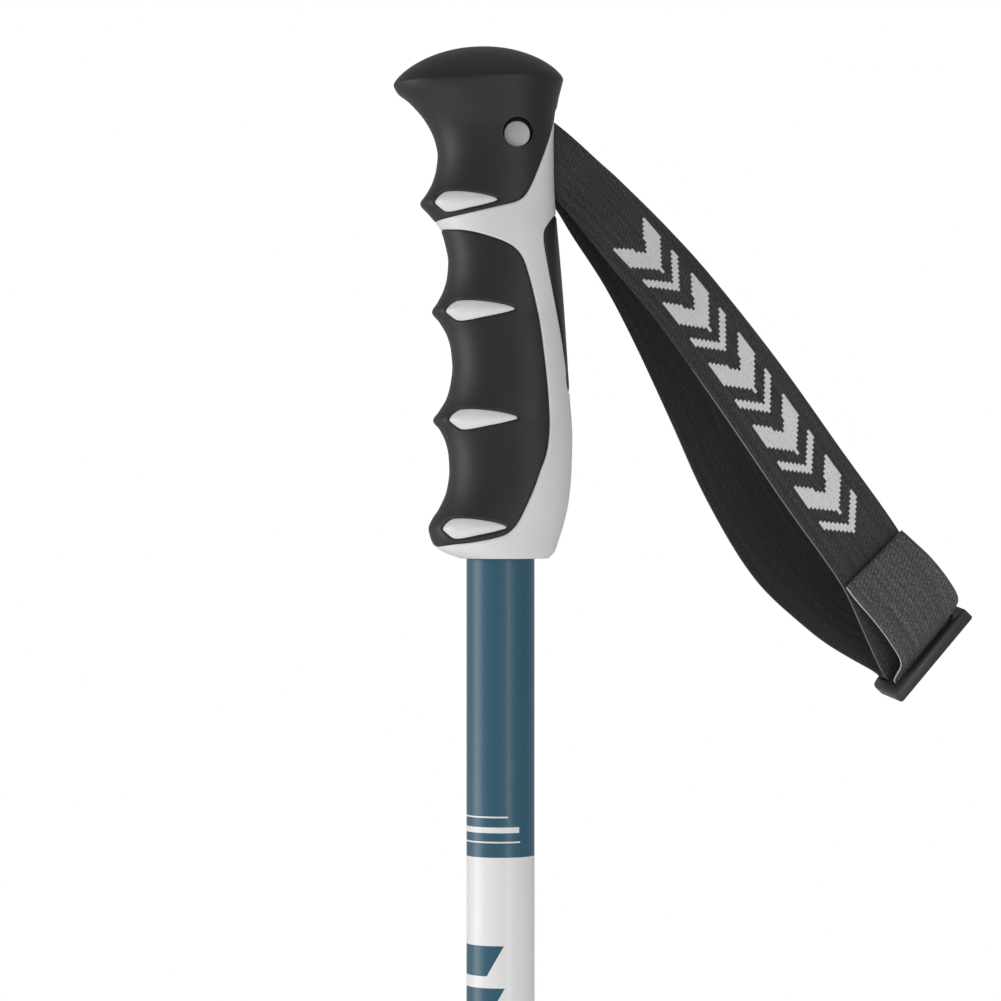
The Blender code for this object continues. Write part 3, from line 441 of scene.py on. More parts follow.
def ground_steel_material(name, colour, scratch_mm):
    """Hardened steel, turned and ground: fine rings round the piece and duller patches from use."""
    material, tree, shader = new_material(name, Metallic=1.0)
    place = add_node(tree, "TexCoord", {})["Object"]
    wide = add_node(tree, "Mapping", {"Vector": place, "Scale": (RING_STRETCH, RING_STRETCH, 1.0)})["Vector"]
    rings = add_node(tree, "TexNoise", {"Vector": wide, "Scale": 1 / (scratch_mm * MM), "Detail": 4.0})["Fac"]
    set_inputs(tree, shader, {
        "Base Color": add_node(tree, "Mix", {"Factor": rings, "A": tint(colour, 0.82), "B": tint(colour)},
                               data_type="RGBA")["Result"],
        "Roughness": add_node(tree, "MapRange", {"Value": rings, "To Min": 0.26, "To Max": 0.46})[0],
        "Normal": add_node(tree, "Bump", {"Height": rings, "Distance": RING_DEPTH, "Strength": 1.0})[0],
    })
    return material


# ---------------------------------------------------------------- mesh helpers


def plain_object(name, mesh):
    """The bmesh as an object in the scene."""
    bmesh.ops.recalc_face_normals(mesh, faces=mesh.faces)
    data = bpy.data.meshes.new(name)
    mesh.to_mesh(data)
    mesh.free()
    obj = bpy.data.objects.new(name, data)
    bpy.context.scene.collection.objects.link(obj)
    return obj


def piece(name, mesh, material, body, slot, *nodes):
    """The bmesh as a finished object that rides on a body and stands for CAD nodes."""
    obj = plain_object(name, mesh)
    obj.data.materials.append(material)
    obj.data.shade_smooth()
    obj.data.set_sharp_from_angle(angle=math.radians(SHARP))
    if body:
        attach(obj, body)
    if nodes:
        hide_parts(*nodes)
    return obj


def settle(obj, sharp=SHARP):
    """Applies the object's modifiers to its mesh."""
    graph = bpy.context.evaluated_depsgraph_get()
    data = bpy.data.meshes.new_from_object(obj.evaluated_get(graph))
    obj.modifiers.clear()
    obj.data = data
    data.set_sharp_from_angle(angle=math.radians(sharp))


def carve(obj, meshes, bevel=0.0, sharp=SHARP):
    """Cuts the solids away from the object, then rounds its edges by bevel."""
    tools = [plain_object("cutter", mesh) for mesh in meshes]
    for tool in tools:
        cut = obj.modifiers.new("carve", "BOOLEAN")
        cut.object = tool
        cut.operation = "DIFFERENCE"
        cut.solver = "MANIFOLD"
    settle(obj, sharp)
    for tool in tools:
        bpy.data.objects.remove(tool, do_unlink=True)
    if bevel:
        soften = obj.modifiers.new("soften", "BEVEL")
        soften.width = bevel
        soften.segments = 3
        soften.limit_method = "ANGLE"
        soften.angle_limit = math.radians(sharp)
        soften.harden_normals = True
        settle(obj, BEVELLED_SHARP)


def add_to(obj, extra):
    """Joins a mesh into an object's own."""
    mesh = bmesh.new()
    mesh.from_mesh(obj.data)
    data = bpy.data.meshes.new("extra")
    extra.to_mesh(data)
    extra.free()
    mesh.from_mesh(data)
    mesh.to_mesh(obj.data)
    mesh.free()
    bpy.data.meshes.remove(data)
    obj.data.shade_smooth()
    obj.data.set_sharp_from_angle(angle=math.radians(SHARP))


def skin(mesh, rings, closed=False):
    """Faces between rings of vertices: on round to the first ring if closed, else with a face on each end."""
    pairs = list(zip(rings, rings[1:])) + ([(rings[-1], rings[0])] if closed else [])
    for low, high in pairs:
        for i, (a, b) in enumerate(zip(low, high)):
            mesh.faces.new((a, low[i - 1], high[i - 1], b))
    if not closed:
        mesh.faces.new(rings[0])
        mesh.faces.new(rings[-1])


def lofted(rings):
    """Rings of points joined into a closed solid."""
    mesh = bmesh.new()
    skin(mesh, [[mesh.verts.new(point) for point in ring] for ring in rings])
    return mesh


def circle(radius, segments=64, centre=(0.0, 0.0)):
    turns = (2 * math.pi * i / segments for i in range(segments))
    return [(centre[0] + radius * math.cos(t), centre[1] + radius * math.sin(t)) for t in turns]


def prism(outline, low, high):
    """A closed outline of (x, z) points, extruded along Y."""
    return lofted([[(x, y, z) for x, z in outline] for y in (low, high)])


def filleted(profile, radius, closed):
    """The profile with each corner replaced by a short arc of four points."""
    points = [Vector(point) for point in profile]
    count = len(points)
    made = []
    for i, at in enumerate(points):
        if not closed and i in (0, count - 1):
            made.append(at)
            continue
        before, after = points[i - 1] - at, points[(i + 1) % count] - at
        room = min(radius, before.length * 0.45, after.length * 0.45)
        start, end = at + before.normalized() * room, at + after.normalized() * room
        for k in range(4):
            t = k / 3
            made.append(start * (1 - t) ** 2 + at * 2 * t * (1 - t) + end * t**2)
    return made


def turned(profile, fillet, segments=96, closed=False, height=0.0):
    """A profile of (radius, height) points turned round Z: a ring if closed, else a solid with flat ends."""
    mesh = bmesh.new()
    rings = [
        [mesh.verts.new((x, y, h + height)) for x, y in circle(radius, segments)]
        for radius, h in filleted(profile, fillet, closed)
    ]
    skin(mesh, rings, closed)
    return mesh


def hermite(t, start, end, span, leaving, arriving):
    """A smooth rise from start to end over the span, with the slopes leaving and arriving, at the share t."""
    return ((2 * t**3 - 3 * t**2 + 1) * start + (3 * t**2 - 2 * t**3) * end
            + span * ((t**3 - 2 * t**2 + t) * leaving + (t**3 - t**2) * arriving))


def eased(share):
    """0 below 0, 1 above 1 and a smooth rise between."""
    share = min(1.0, max(0.0, share))
    return share * share * (3 - 2 * share)


# ---------------------------------------------------------------- grip


def through(points):
    """A smooth curve through (height, value) points that keeps their peaks, as a function of an array."""
    at, level = (np.array(column, float) for column in zip(*points))
    steps = np.diff(level) / np.diff(at)
    product = steps[:-1] * steps[1:]
    inner = np.where(product > 0, 2 * product / np.where(product > 0, steps[:-1] + steps[1:], 1), 0)
    slopes = np.concatenate([steps[:1], inner, steps[-1:]])

    def value(height):
        i = np.clip(np.searchsorted(at, height, side="right") - 1, 0, len(steps) - 1)
        span = at[i + 1] - at[i]
        t = np.clip((height - at[i]) / span, 0, 1)
        return hermite(t, level[i], level[i + 1], span, slopes[i], slopes[i + 1])

    return value


def grip_surface(inset):
    """Points of the grip's outer surface moved in by inset, as rings of points from the base up."""
    wall = np.linspace(0, RIM_HEIGHT, WALL_RINGS)
    bend = np.linspace(0, DOME_BEND, DOME_RINGS + 1)[1:]
    height = np.concatenate([wall, np.full(DOME_RINGS, RIM_HEIGHT)])
    share = np.concatenate([np.ones(WALL_RINGS), np.cos(bend)])
    rise = np.concatenate([np.zeros(WALL_RINGS), np.sin(bend) ** (2 / DOME_POWER)])
    front, rear, side = (
        SHAFT_RADIUS + through(table)(height) * MM - inset for table in (FRONT_WALL, REAR_WALL, SIDE_WALL)
    )
    turn = 2 * math.pi * (np.arange(AROUND) + 0.5) / AROUND
    forward, sideways = (
        np.sign(wave) * np.abs(wave) ** (2 / SECTION_POWER) for wave in (np.cos(turn), np.sin(turn)))
    reach = (rear + front) / 2 * share
    tilt = RIM_TILT * np.clip((height - TILT_FROM) / TILT_SPAN, 0, 1)
    up = GRIP_BASE + (height + rise * (TOP_HEIGHT - RIM_HEIGHT)) * MM - inset * rise
    points = np.stack([
        ((rear - front) / 2)[:, None] + reach[:, None] * forward,
        (side * share)[:, None] * sideways,
        up[:, None] + (tilt * reach)[:, None] * forward,
    ], axis=2)
    low, high = WALL_RINGS - 1 - CREASE_RINGS, WALL_RINGS + CREASE_RINGS
    for _ in range(CREASE_PASSES):
        points[low:high] = (points[low - 1:high - 1] + 2 * points[low:high] + points[low + 1:high + 1]) / 4
    return points


def smooth_outline(outline, steps=6):
    """A closed curve through the outline's points."""
    points = np.array(outline, float)
    count = len(points)
    gaps = np.linalg.norm(np.roll(points, -1, axis=0) - points, axis=1)
    slopes = (np.roll(points, -1, axis=0) - np.roll(points, 1, axis=0)) / (gaps + np.roll(gaps, 1))[:, None]
    made = []
    for i in range(count):
        k = (i + 1) % count
        for t in np.arange(steps) / steps:
            made.append(hermite(t, points[i], points[k], gaps[i], slopes[i], slopes[k]))
    return np.array(made)


def signed_distance(points, outline):
    """Distance of each point from the closed outline, negative inside it."""
    best = np.full(len(points), np.inf)
    inside = np.zeros(len(points), bool)
    for start, end in zip(outline, np.roll(outline, -1, axis=0)):
        along, away = end - start, points - start
        t = np.clip(away @ along / (along @ along), 0, 1)
        best = np.minimum(best, np.linalg.norm(away - t[:, None] * along, axis=1))
        if start[1] != end[1]:
            crossing = start[0] + (points[:, 1] - start[1]) * along[0] / along[1]
            inside ^= ((start[1] > points[:, 1]) != (end[1] > points[:, 1])) & (points[:, 0] < crossing)
    return np.where(inside, -best, best)


def grip_skin():
    """The grip's outer surface, cut along the covers' edges, with what each vertex needs to be moved.

    deep: the direction into the grip; seam: the distance from a cover's edge, negative under it;
    boss: the distance in from a boss's edge; cover: which of the covers is nearest.
    """
    outer, inner = grip_surface(0).reshape(-1, 3), grip_surface(OVERMOULD).reshape(-1, 3)
    flat = np.stack([outer[:, 0], outer[:, 2] - GRIP_BASE], axis=1) / MM
    covers, bosses = (
        np.stack([signed_distance(flat, smooth_outline(outline)) for outline in outlines])
        for outlines in (
            (HEAD_OUTLINE, FINGER_OUTLINE, PAD_OUTLINE),
            [[(start + length * x, height + BOSS_HEIGHT * z) for x, z in BOSS_OUTLINE]
             for start, height, length in BOSSES]))
    nearest_boss = bosses.min(axis=0)
    seams = np.maximum(covers.min(axis=0), -nearest_boss) * MM
    mesh = bmesh.new()
    layers = mesh.verts.layers
    for group, name in ((layers.float, "seam"), (layers.float, "boss"), (layers.int, "cover"),
                        (layers.float_vector, "deep")):
        group.new(name)
    seam, boss = layers.float["seam"], layers.float["boss"]
    cover, deep = layers.int["cover"], layers.float_vector["deep"]
    verts = []
    for i, point in enumerate(outer):
        vert = mesh.verts.new(point)
        vert[seam] = seams[i]
        vert[boss] = -nearest_boss[i] * MM
        vert[cover] = int(covers[:, i].argmin())
        vert[deep] = Vector(inner[i] - point) / OVERMOULD
        verts.append(vert)
    rings = [verts[i:i + AROUND] for i in range(0, len(verts), AROUND)]
    skin(mesh, rings)
    for level in SEAM_LEVELS:
        cut_along(mesh, seam, boss, cover, deep, level * MM)
    return mesh, seam, boss, cover, deep


def cut_along(mesh, seam, boss, cover, deep, level):
    """Splits the faces along the line at this distance from the covers' edges."""
    near = 0.01 * MM
    on_line = []
    for vert in mesh.verts:
        if abs(vert[seam] - level) < near:
            vert[seam] = level
            on_line.append(vert)
    for edge in list(mesh.edges):
        a, b = edge.verts
        low, high = a[seam] - level, b[seam] - level
        if low * high < 0:
            share = low / (low - high)
            values = (a[boss] + (b[boss] - a[boss]) * share, a[cover], a[deep].lerp(b[deep], share))
            made = bmesh.utils.edge_split(edge, a, share)[1]
            made[seam] = level
            made[boss], made[cover], made[deep] = values
            on_line.append(made)
    bmesh.ops.connect_verts(mesh, verts=on_line)


def core_depth(seam, boss):
    """How far in the core's surface lies: pockets under the covers, lips beside them, crowned bosses."""
    if seam < 0:
        return SEAM_LIP + (OVERMOULD - SEAM_LIP) * min(1.0, seam / CORE_WALL)
    return SEAM_LIP * math.exp(-((seam / SEAM_REACH) ** 2)) - BOSS_CROWN * eased(boss / BOSS_SHOULDER)


def cover_depth(seam):
    """How far in a cover's surface lies: a rolled edge, then slightly proud of the core."""
    inward = COVER_EDGE - seam
    return SEAM_LIP * math.exp(-((inward / SEAM_REACH) ** 2)) - COVER_PROUD * eased(inward / PROUD_REACH)


def cover_shell(source, seam, cover, deep, wanted):
    """One cover as a closed shell, from the faces of the cut surface that lie under it."""
    faces = [
        face for face in source.faces
        if face.verts[0][cover] == wanted and all(vert[seam] <= COVER_EDGE + 1e-9 for vert in face.verts)
    ]
    mesh = bmesh.new()
    outer, inner = {}, {}
    for vert in {vert for face in faces for vert in face.verts}:
        outer[vert] = vert.co + vert[deep] * cover_depth(vert[seam])
        inner[vert] = vert.co + vert[deep] * COVER_THICKNESS
    for sheet in (outer, inner):
        for vert in sorted(sheet, key=lambda vert: vert.index):
            sheet[vert] = mesh.verts.new(sheet[vert])
    kept = set(faces)
    for face in faces:
        mesh.faces.new([outer[vert] for vert in face.verts])
        mesh.faces.new([inner[vert] for vert in reversed(face.verts)])
        for edge in face.edges:
            if sum(other in kept for other in edge.link_faces) == 1:
                a, b = edge.verts
                mesh.faces.new((outer[a], outer[b], inner[b], inner[a]))
    return mesh


def slot_outline():
    """The strap's slot: the room that the tongue sweeps as it swings up from its lower lip."""
    points = [Vector(point) for point in circle(TONGUE_RADIUS + TONGUE_ROOM, 48)]
    for step in range(SWING_STEPS + 1):
        turn = Matrix.Rotation(SWING * step / SWING_STEPS, 2)
        points += [turn @ (Vector(corner) * MM) for corner in (SLOT_CORNERS[:-1] if step else SLOT_CORNERS)]
    return [(points[i].x + PIN.x, points[i].y + PIN.z) for i in convex_hull_2d(points)]


def seat_centre(side):
    """Where the seat stands: off the pin's axis on the head's side, and on it behind."""
    off = PIN_SEAT_OFF if side < 0 else (0, 0)
    return PIN.x + off[0], PIN.z + off[1]


def pin_cutters(radius, floor):
    """The hole for the pin's shank and the two seats for its head and its cap."""
    shank = circle(PIN_RADIUS + FIT_GAP, 48, (PIN.x, PIN.z))
    head, cap = (circle(radius, 96, seat_centre(side)) for side in (-1, 1))
    beyond = THROUGH + 1 * MM
    return [prism(head, -THROUGH, -floor), prism(cap, floor, THROUGH), prism(shank, -beyond, beyond)]


def seat_shade_lining(surface, side):
    """The cover's black elastomer where it runs down into the pin's seat: a thin cup with a hole for the
    shank, which paints shade on the seat's deep wall.
    """
    centre = seat_centre(side)
    inner, outer = (circle(radius, 64, centre) for radius in (PIN_SEAT_RADIUS, PIN_SEAT_RADIUS + SEAT_LINING))
    hole = circle(PIN_RADIUS + FIT_GAP, 64, (PIN.x, PIN.z))
    tops = []
    for x, z in outer:
        hit = surface.ray_cast(Vector((x, side * 2 * THROUGH, z)), Vector((0, -side, 0)))[0]
        tops.append(hit.y - side * (COVER_THICKNESS - LINING_OVERLAP))
    floor = side * PIN_SEAT_FLOOR
    deeper = side * (PIN_SEAT_FLOOR - SEAT_LINING)
    rings = [
        [(x, top, z) for (x, z), top in zip(inner, tops)], [(x, top, z) for (x, z), top in zip(outer, tops)],
        [(x, deeper, z) for x, z in outer], [(x, deeper, z) for x, z in hole],
        [(x, floor, z) for x, z in hole], [(x, floor, z) for x, z in inner],
    ]
    mesh = bmesh.new()
    skin(mesh, [[mesh.verts.new(point) for point in ring] for ring in rings], closed=True)
    bmesh.ops.recalc_face_normals(mesh, faces=mesh.faces)
    return mesh


def build_grip(settings):
    # Hard polypropylene off a satin tool: an even near-white with a broad soft highlight.
    white = moulded_material("polypropylene_moulded_white", settings.core_colour, 0.40, 0.5, 0.012 * MM, 1.49)
    # A soft elastomer shows its tool's grain as a fine matt bloom, with no sharp highlight.
    black = moulded_material("elastomer_moulded_black", settings.cover_colour, 0.50, 0.42, 0.03 * MM, 1.46)
    source, seam, boss, cover, deep = grip_skin()
    source.verts.index_update()
    names = ("head_cover", "finger_cover", "rear_cover")
    nodes = ("grip_head_overmould", "grip_finger_overmould", "grip_rear_pad")
    covers = [
        piece(name, cover_shell(source, seam, cover, deep, k), black, "pole", "black_soft_grip", nodes[k])
        for k, name in enumerate(names)
    ]
    surface = BVHTree.FromBMesh(source)
    # Black cups in the pin's seats, as painted shade on their deep walls.
    shade_linings = [seat_shade_lining(surface, side) for side in (-1, 1)]
    for vert in source.verts:
        vert.co += vert[deep] * core_depth(vert[seam], vert[boss])
    core = piece("core_moulding", source, white, "pole", "white_core_plastic", "grip_core")
    socket = SHAFT_RADIUS + FIT_GAP
    bore = turned([(socket, GRIP_BASE - 5 * MM), (socket, GRIP_BASE + SOCKET_DEPTH)], 0)
    lined = PIN_SEAT_RADIUS + SEAT_LINING + LINING_GAP, PIN_SEAT_FLOOR - SEAT_LINING - LINING_GAP
    slot = prism(slot_outline(), -SLOT_HALF, SLOT_HALF)
    carve(core, [bore, *pin_cutters(*lined), slot.copy()])
    carve(covers[0], [slot, *pin_cutters(PIN_SEAT_RADIUS, PIN_SEAT_FLOOR)])
    for lining in shade_linings:
        add_to(covers[0], lining)


def build_pin(settings):
    # Slippery acetal keeps a low waxy gloss, and reads as a plain mid grey.
    grey = moulded_material("acetal_moulded_grey", settings.pin_colour, 0.42, 0.35, 0.01 * MM, 1.48)
    to_pin = Matrix.Translation(PIN) @ Matrix.Rotation(math.radians(90), 4, "X")
    shank, low, hollow = PIN_OUT - 1.0 * MM, PIN_OUT - PIN_HEAD_THICKNESS, PIN_RADIUS + FIT_GAP
    tip, crown, fillet = 0.2 * MM, 0.06 * MM, 0.3 * MM
    head = turned([
        (tip, PIN_OUT), (PIN_HEAD_RADIUS, PIN_OUT - crown), (PIN_HEAD_RADIUS, low), (PIN_RADIUS, low),
        (PIN_RADIUS, -shank), (tip, -shank)], fillet)
    for vert in head.verts:
        if vert.co.z > low + 0.1 * MM or vert.co.xy.length > PIN_RADIUS + 0.4 * MM:
            vert.co.xy += Vector(PIN_HEAD_OFF)
    bmesh.ops.transform(head, matrix=to_pin, verts=head.verts)
    piece("hinge_pin", head, grey, "pole", "grey_pin_plastic", "strap_pin")
    cap = turned([
        (tip, -PIN_OUT), (PIN_HEAD_RADIUS, -PIN_OUT + crown), (PIN_HEAD_RADIUS, -low), (hollow, -low),
        (hollow, -shank - FIT_GAP), (tip, -shank - FIT_GAP)], fillet)
    bmesh.ops.transform(cap, matrix=to_pin, verts=cap.verts)
    piece("pin_end_cap", cap, grey, "pole", "grey_pin_plastic", "strap_pin_cap")


# ---------------------------------------------------------------- strap and buckle


def buckle_axes():
    along = Vector(BUCKLE_ALONG).normalized()
    depth = Vector(BUCKLE_DEPTH)
    depth = (depth - along * depth.dot(along)).normalized()
    return along, depth, depth.cross(along)


def buckle_matrix():
    """From the buckle's own axes to the row frame: X along its bars, Y from near to far, Z through it."""
    matrix = Matrix(buckle_axes()).transposed().to_4x4()
    matrix.translation = PIN + Vector(BUCKLE_CENTRE) * MM
    return matrix


def buckle_point(depth, through_it):
    return buckle_matrix() @ Vector((0, depth, through_it))


def stations_of(route):
    return [(PIN + Vector(middle) * MM, Vector(across).normalized(), width * MM)
            for middle, across, width in route]


def resampled(stations, spacing, eased_from=None, eased_to=None):
    """A smooth run of (middle, across, width) through the stations, with sections this far apart.

    Between eased_from and the length eased_to before its end, the run is evened out further.
    """
    rows = np.array([(*middle, *across, width) for middle, across, width in stations])
    gaps = np.linalg.norm(np.diff(rows[:, :3], axis=0), axis=1)
    at = np.concatenate([[0], np.cumsum(gaps)])
    last = len(rows) - 1
    around = [(max(i - 1, 0), min(i + 1, last)) for i in range(last + 1)]
    slopes = np.array([(rows[after] - rows[before]) / (at[after] - at[before]) for before, after in around])
    made = []
    for s in np.linspace(0, at[-1], max(2, round(at[-1] / spacing))):
        i = min(int(np.searchsorted(at, s, side="right")) - 1, last - 1)
        t = (s - at[i]) / gaps[i]
        made.append(hermite(t, rows[i], rows[i + 1], gaps[i], slopes[i], slopes[i + 1]))
    made = np.array(made)
    if eased_from is not None:
        low, high = round(eased_from / spacing), len(made) - round(eased_to / spacing)
        for _ in range(EASING_PASSES):
            made[low:high] = (made[low - 1:high - 1] + 2 * made[low:high] + made[low + 1:high + 1]) / 4
    return [(Vector(row[:3]), Vector(row[3:6]).normalized(), float(row[6])) for row in made]


def webbing_band(run, thickness, hem=0.0, wave=0.0):
    """Flat webbing along a run, with rounded selvedges and its own lengthwise and crosswise coordinates.

    hem is the length of the doubled end, and wave how far the webbing undulates across its width.
    """
    mesh = bmesh.new()
    layer = mesh.loops.layers.uv.new("webbing")
    places = {}
    rings = []
    travelled = 0.0
    for i, (middle, across, width) in enumerate(run):
        before, after = run[max(i - 1, 0)][0], run[min(i + 1, len(run) - 1)][0]
        out = across.cross(after - before).normalized()
        travelled += (middle - run[i - 1][0]).length if i else 0.0
        half = thickness / 2
        if hem:
            half *= 1 + (HEM_SWELL - 1) * (1 - eased((travelled - hem) / HEM_STEP))
            half *= math.sqrt(min(1.0, 0.04 + travelled / HEM_ROUNDING))
        ring = []
        for side in (1, -1):
            for k in range(STEPS_ACROSS + 1):
                share = side * (2 * k / STEPS_ACROSS - 1)
                # Sections are closer together near the selvedges, which are rounded.
                share = math.copysign(abs(share) ** 0.8, share)
                edge = max(0.04, 1 - abs(share) ** EDGE_ROUNDING) ** 0.5
                lift = wave * math.sin(travelled / WAVE_LENGTH + 2.2 * share) * (1 - share * share)
                place = middle + across * (width / 2 * share) + out * (side * half * edge + lift)
                vert = mesh.verts.new(place)
                places[vert] = (travelled, width / 2 * share)
                ring.append(vert)
        rings.append(ring)
    skin(mesh, rings)
    for face in mesh.faces:
        for loop in face.loops:
            loop[layer].uv = places[loop.vert]
    return mesh


def run_length(run):
    return sum((b[0] - a[0]).length for a, b in zip(run, run[1:]))


def stitch_row(mesh, start, end, out, count):
    """Slightly sunken thread stitches from start to end, on a face that looks along out."""
    along = (end - start) / count
    length = along.length * STITCH_SHARE
    direction = along.normalized()
    across = out.cross(direction).normalized()
    for i in range(count):
        middle = start + along * (i + 0.5)
        rings = []
        for share, size in ((-1, 0.35), (-0.8, 0.8), (-0.3, 1), (0.3, 1), (0.8, 0.8), (1, 0.35)):
            centre = middle + direction * (length / 2 * share)
            rings.append([mesh.verts.new(centre + across * (x * size) + out * (z * size))
                          for x, z in circle(STITCH_RADIUS, 8)])
        skin(mesh, rings)


def strap_run(name, stations, eased_to, ply, material, follows, nodes):
    """One ply of the strap, which hangs from the pin and passes from the strap's body to the buckle's."""
    run = resampled(stations, STRAP_SPACING, IN_SLOT, eased_to)
    band = webbing_band(run, ply, wave=WAVE)
    obj = piece(name, band, material, None, "black_webbing", *nodes)
    carve(obj, [prism(circle(PIN_RADIUS + FIT_GAP, 48, (PIN.x, PIN.z)), -THROUGH, THROUGH)])
    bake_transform(obj, "strap", "buckle", *(PIN + Vector(point) * MM for point in follows))


def build_strap(settings):
    # Matt black webbing with a faint sheen, whose pale motif is broken up by its threads.
    motif = webbing_material("nylon_webbing_woven_motif", settings.webbing_colour, settings.thread_colour,
                             settings.motif_colour, (settings.motif_start, settings.motif_end))
    # The back run is thinner and darker, and shows only a dull weave. Its darker colours are partly a darker
    # webbing and partly painted shade for the inside of the loop, where it faces the front run.
    plain = webbing_material("nylon_webbing_woven", settings.inner_shaded_ground, settings.inner_shaded_thread)
    bar = buckle_axes()[0]
    front = stations_of(FRONT_ROUTE)
    front += [(buckle_point(LEG, t * MM), bar, WEBBING_WIDTH) for t in (-3.2, -1.6, -0.3)]
    strap_run("front_webbing", front, 9 * MM, WEBBING_THICKNESS, motif, FRONT_FOLLOWS,
              ("strap_tongue", "strap_front_run", "strap_front_lead"))

    # The back run goes round the buckle's rear bar, and its sewn end lies on its own far side.
    ply, turn = settings.anchor_ply, 0.4 * MM
    outer, inner = (ANCHOR + side * (HALF_BAR + FIT_GAP + ply / 2) for side in (1, -1))
    under = HALF_DEPTH + FIT_GAP + ply / 2
    loop = [(inner, -1.6 * MM), (inner, turn), (inner + 0.7 * MM, under - turn), (ANCHOR, under),
            (outer - 0.7 * MM, under - turn), (outer, turn), (outer, -2.4 * MM)]
    back = stations_of(BACK_ROUTE)
    (start, *section), (beyond, *before) = back[-1], back[-2]
    back += [(buckle_point(*place), bar, WEBBING_WIDTH) for place in loop]
    behind = Vector((-0.1, 0.86, 0.5)).normalized() * (ply + 0.25 * MM)
    back += [(start + behind, *section), (start.lerp(beyond, 0.62) + behind, *before)]
    strap_run("back_webbing", back, 40 * MM, ply, plain, BACK_FOLLOWS,
              ("strap_back_run", "strap_back_lead", "strap_anchor_loop"))


def build_buckle(settings):
    # Acetal off a polished tool: nearly black, with a soft satin highlight along each bar.
    black = moulded_material("acetal_moulded_black", settings.buckle_colour, 0.42, 0.6, 0.008 * MM, 1.48)
    matrix = buckle_matrix()
    # The near bar is wider than the other two, so that it can be held.
    near, far = -HALF_BAR - NEAR_SLOT - 2 * HALF_BAR - 0.8 * MM, HALF_BAR + FAR_SLOT + 2 * HALF_BAR
    half = WEBBING_WIDTH / 2 + 0.5 * MM + BUCKLE_SIDE
    cut, lobe, shoulder = 0.6 * MM, 2.4 * MM, 0.7 * MM
    right = [(half - cut, near), (half, near + cut), (half, far - lobe), (half - shoulder, far - shoulder),
             (half - lobe, far)]
    plan = right + [(-w, q) for w, q in reversed(right)]
    frame_mesh = lofted([[matrix @ Vector((w, q, t)) for w, q in plan] for t in (-HALF_DEPTH, HALF_DEPTH)])
    buckle = piece("slider_buckle", frame_mesh, black, "buckle", "black_hard_plastic", "buckle_frame")
    inside = WEBBING_WIDTH / 2 + 0.4 * MM
    slots = []
    for low, high in ((-HALF_BAR - NEAR_SLOT, -HALF_BAR), (HALF_BAR, HALF_BAR + FAR_SLOT)):
        window = [(-inside, low), (inside, low), (inside, high), (-inside, high)]
        slots.append(lofted([[matrix @ Vector((w, q, t)) for w, q in window] for t in (-5 * MM, 5 * MM)]))
    carve(buckle, slots, bevel=0.28 * MM)

    # The tail's face is worn fuzzy where it is pulled, so its threads look greyer.
    worn = webbing_material("nylon_webbing_brushed", settings.tail_ground, settings.tail_thread)
    bar = buckle_axes()[0]
    tail = stations_of(TAIL_ROUTE)
    tail += [(buckle_point(-LEG, t), bar, WEBBING_WIDTH) for t in (-2.1 * MM, 0.0)]
    bottom = 0.7 * MM
    for k in range(7):
        turn = math.pi * k / 6
        tail.append((buckle_point(-LEG * math.cos(turn), bottom + LEG * math.sin(turn)), bar, WEBBING_WIDTH))
    tail.append((buckle_point(LEG, -0.28 * MM), bar, WEBBING_WIDTH))
    run = resampled(tail, TAIL_SPACING)
    band = webbing_band(run, WEBBING_THICKNESS, hem=settings.hem_length)
    ply = piece("tail_webbing", band, worn, "buckle", "black_webbing", "strap_tail")

    # Twisted polyester is smoother than the webbing, and sinks into it.
    thread = moulded_material("polyester_thread_twisted", settings.stitch_colour, 0.6, 0.25, 0.02 * MM, 1.55)
    rows = bmesh.new()
    index = next(i for i in range(len(run)) if run_length(run[:i + 1]) > settings.hem_length - HEM_INSET)
    middle, across, width = run[index]
    out = across.cross(run[index + 1][0] - run[index - 1][0]).normalized()
    face = middle + out * (WEBBING_THICKNESS / 2 * HEM_SWELL - STITCH_SUNK)
    reach = across * (width / 2 - 1.6 * MM)
    stitch_row(rows, face - reach, face + reach, out, STITCHES)
    piece("hem_stitching", rows, thread, "buckle", "black_webbing")


# ---------------------------------------------------------------- shaft, tip and basket


def build_shaft(settings):
    low, high = (corner.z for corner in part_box("shaft_tube"))
    end = settings.end_diameter / 2
    outer = [(end, low), (end, settings.taper_to), (SHAFT_RADIUS, settings.taper_from), (SHAFT_RADIUS, high)]
    inner = [(radius - settings.wall, height) for radius, height in reversed(outer)]
    # A gloss teal over white, whose thin clear coat keeps two narrow upright highlights.
    lacquer = lacquered_tube_material(settings)
    piece("lacquered_shaft", turned(outer + inner, 0.25 * MM, segments=128, closed=True), lacquer,
          "pole", "painted_aluminium", "shaft_tube")


def rod_around(radius, low, high, out, share, segments):
    """An upright rod that stands this far out from the axis, at a share of the way round it."""
    rod = turned([(radius, low), (radius, high)], 0, segments=segments)
    turn = Matrix.Rotation(2 * math.pi * share, 4, "Z") @ Matrix.Translation((out, 0, 0))
    bmesh.ops.transform(rod, matrix=turn, verts=rod.verts)
    return rod


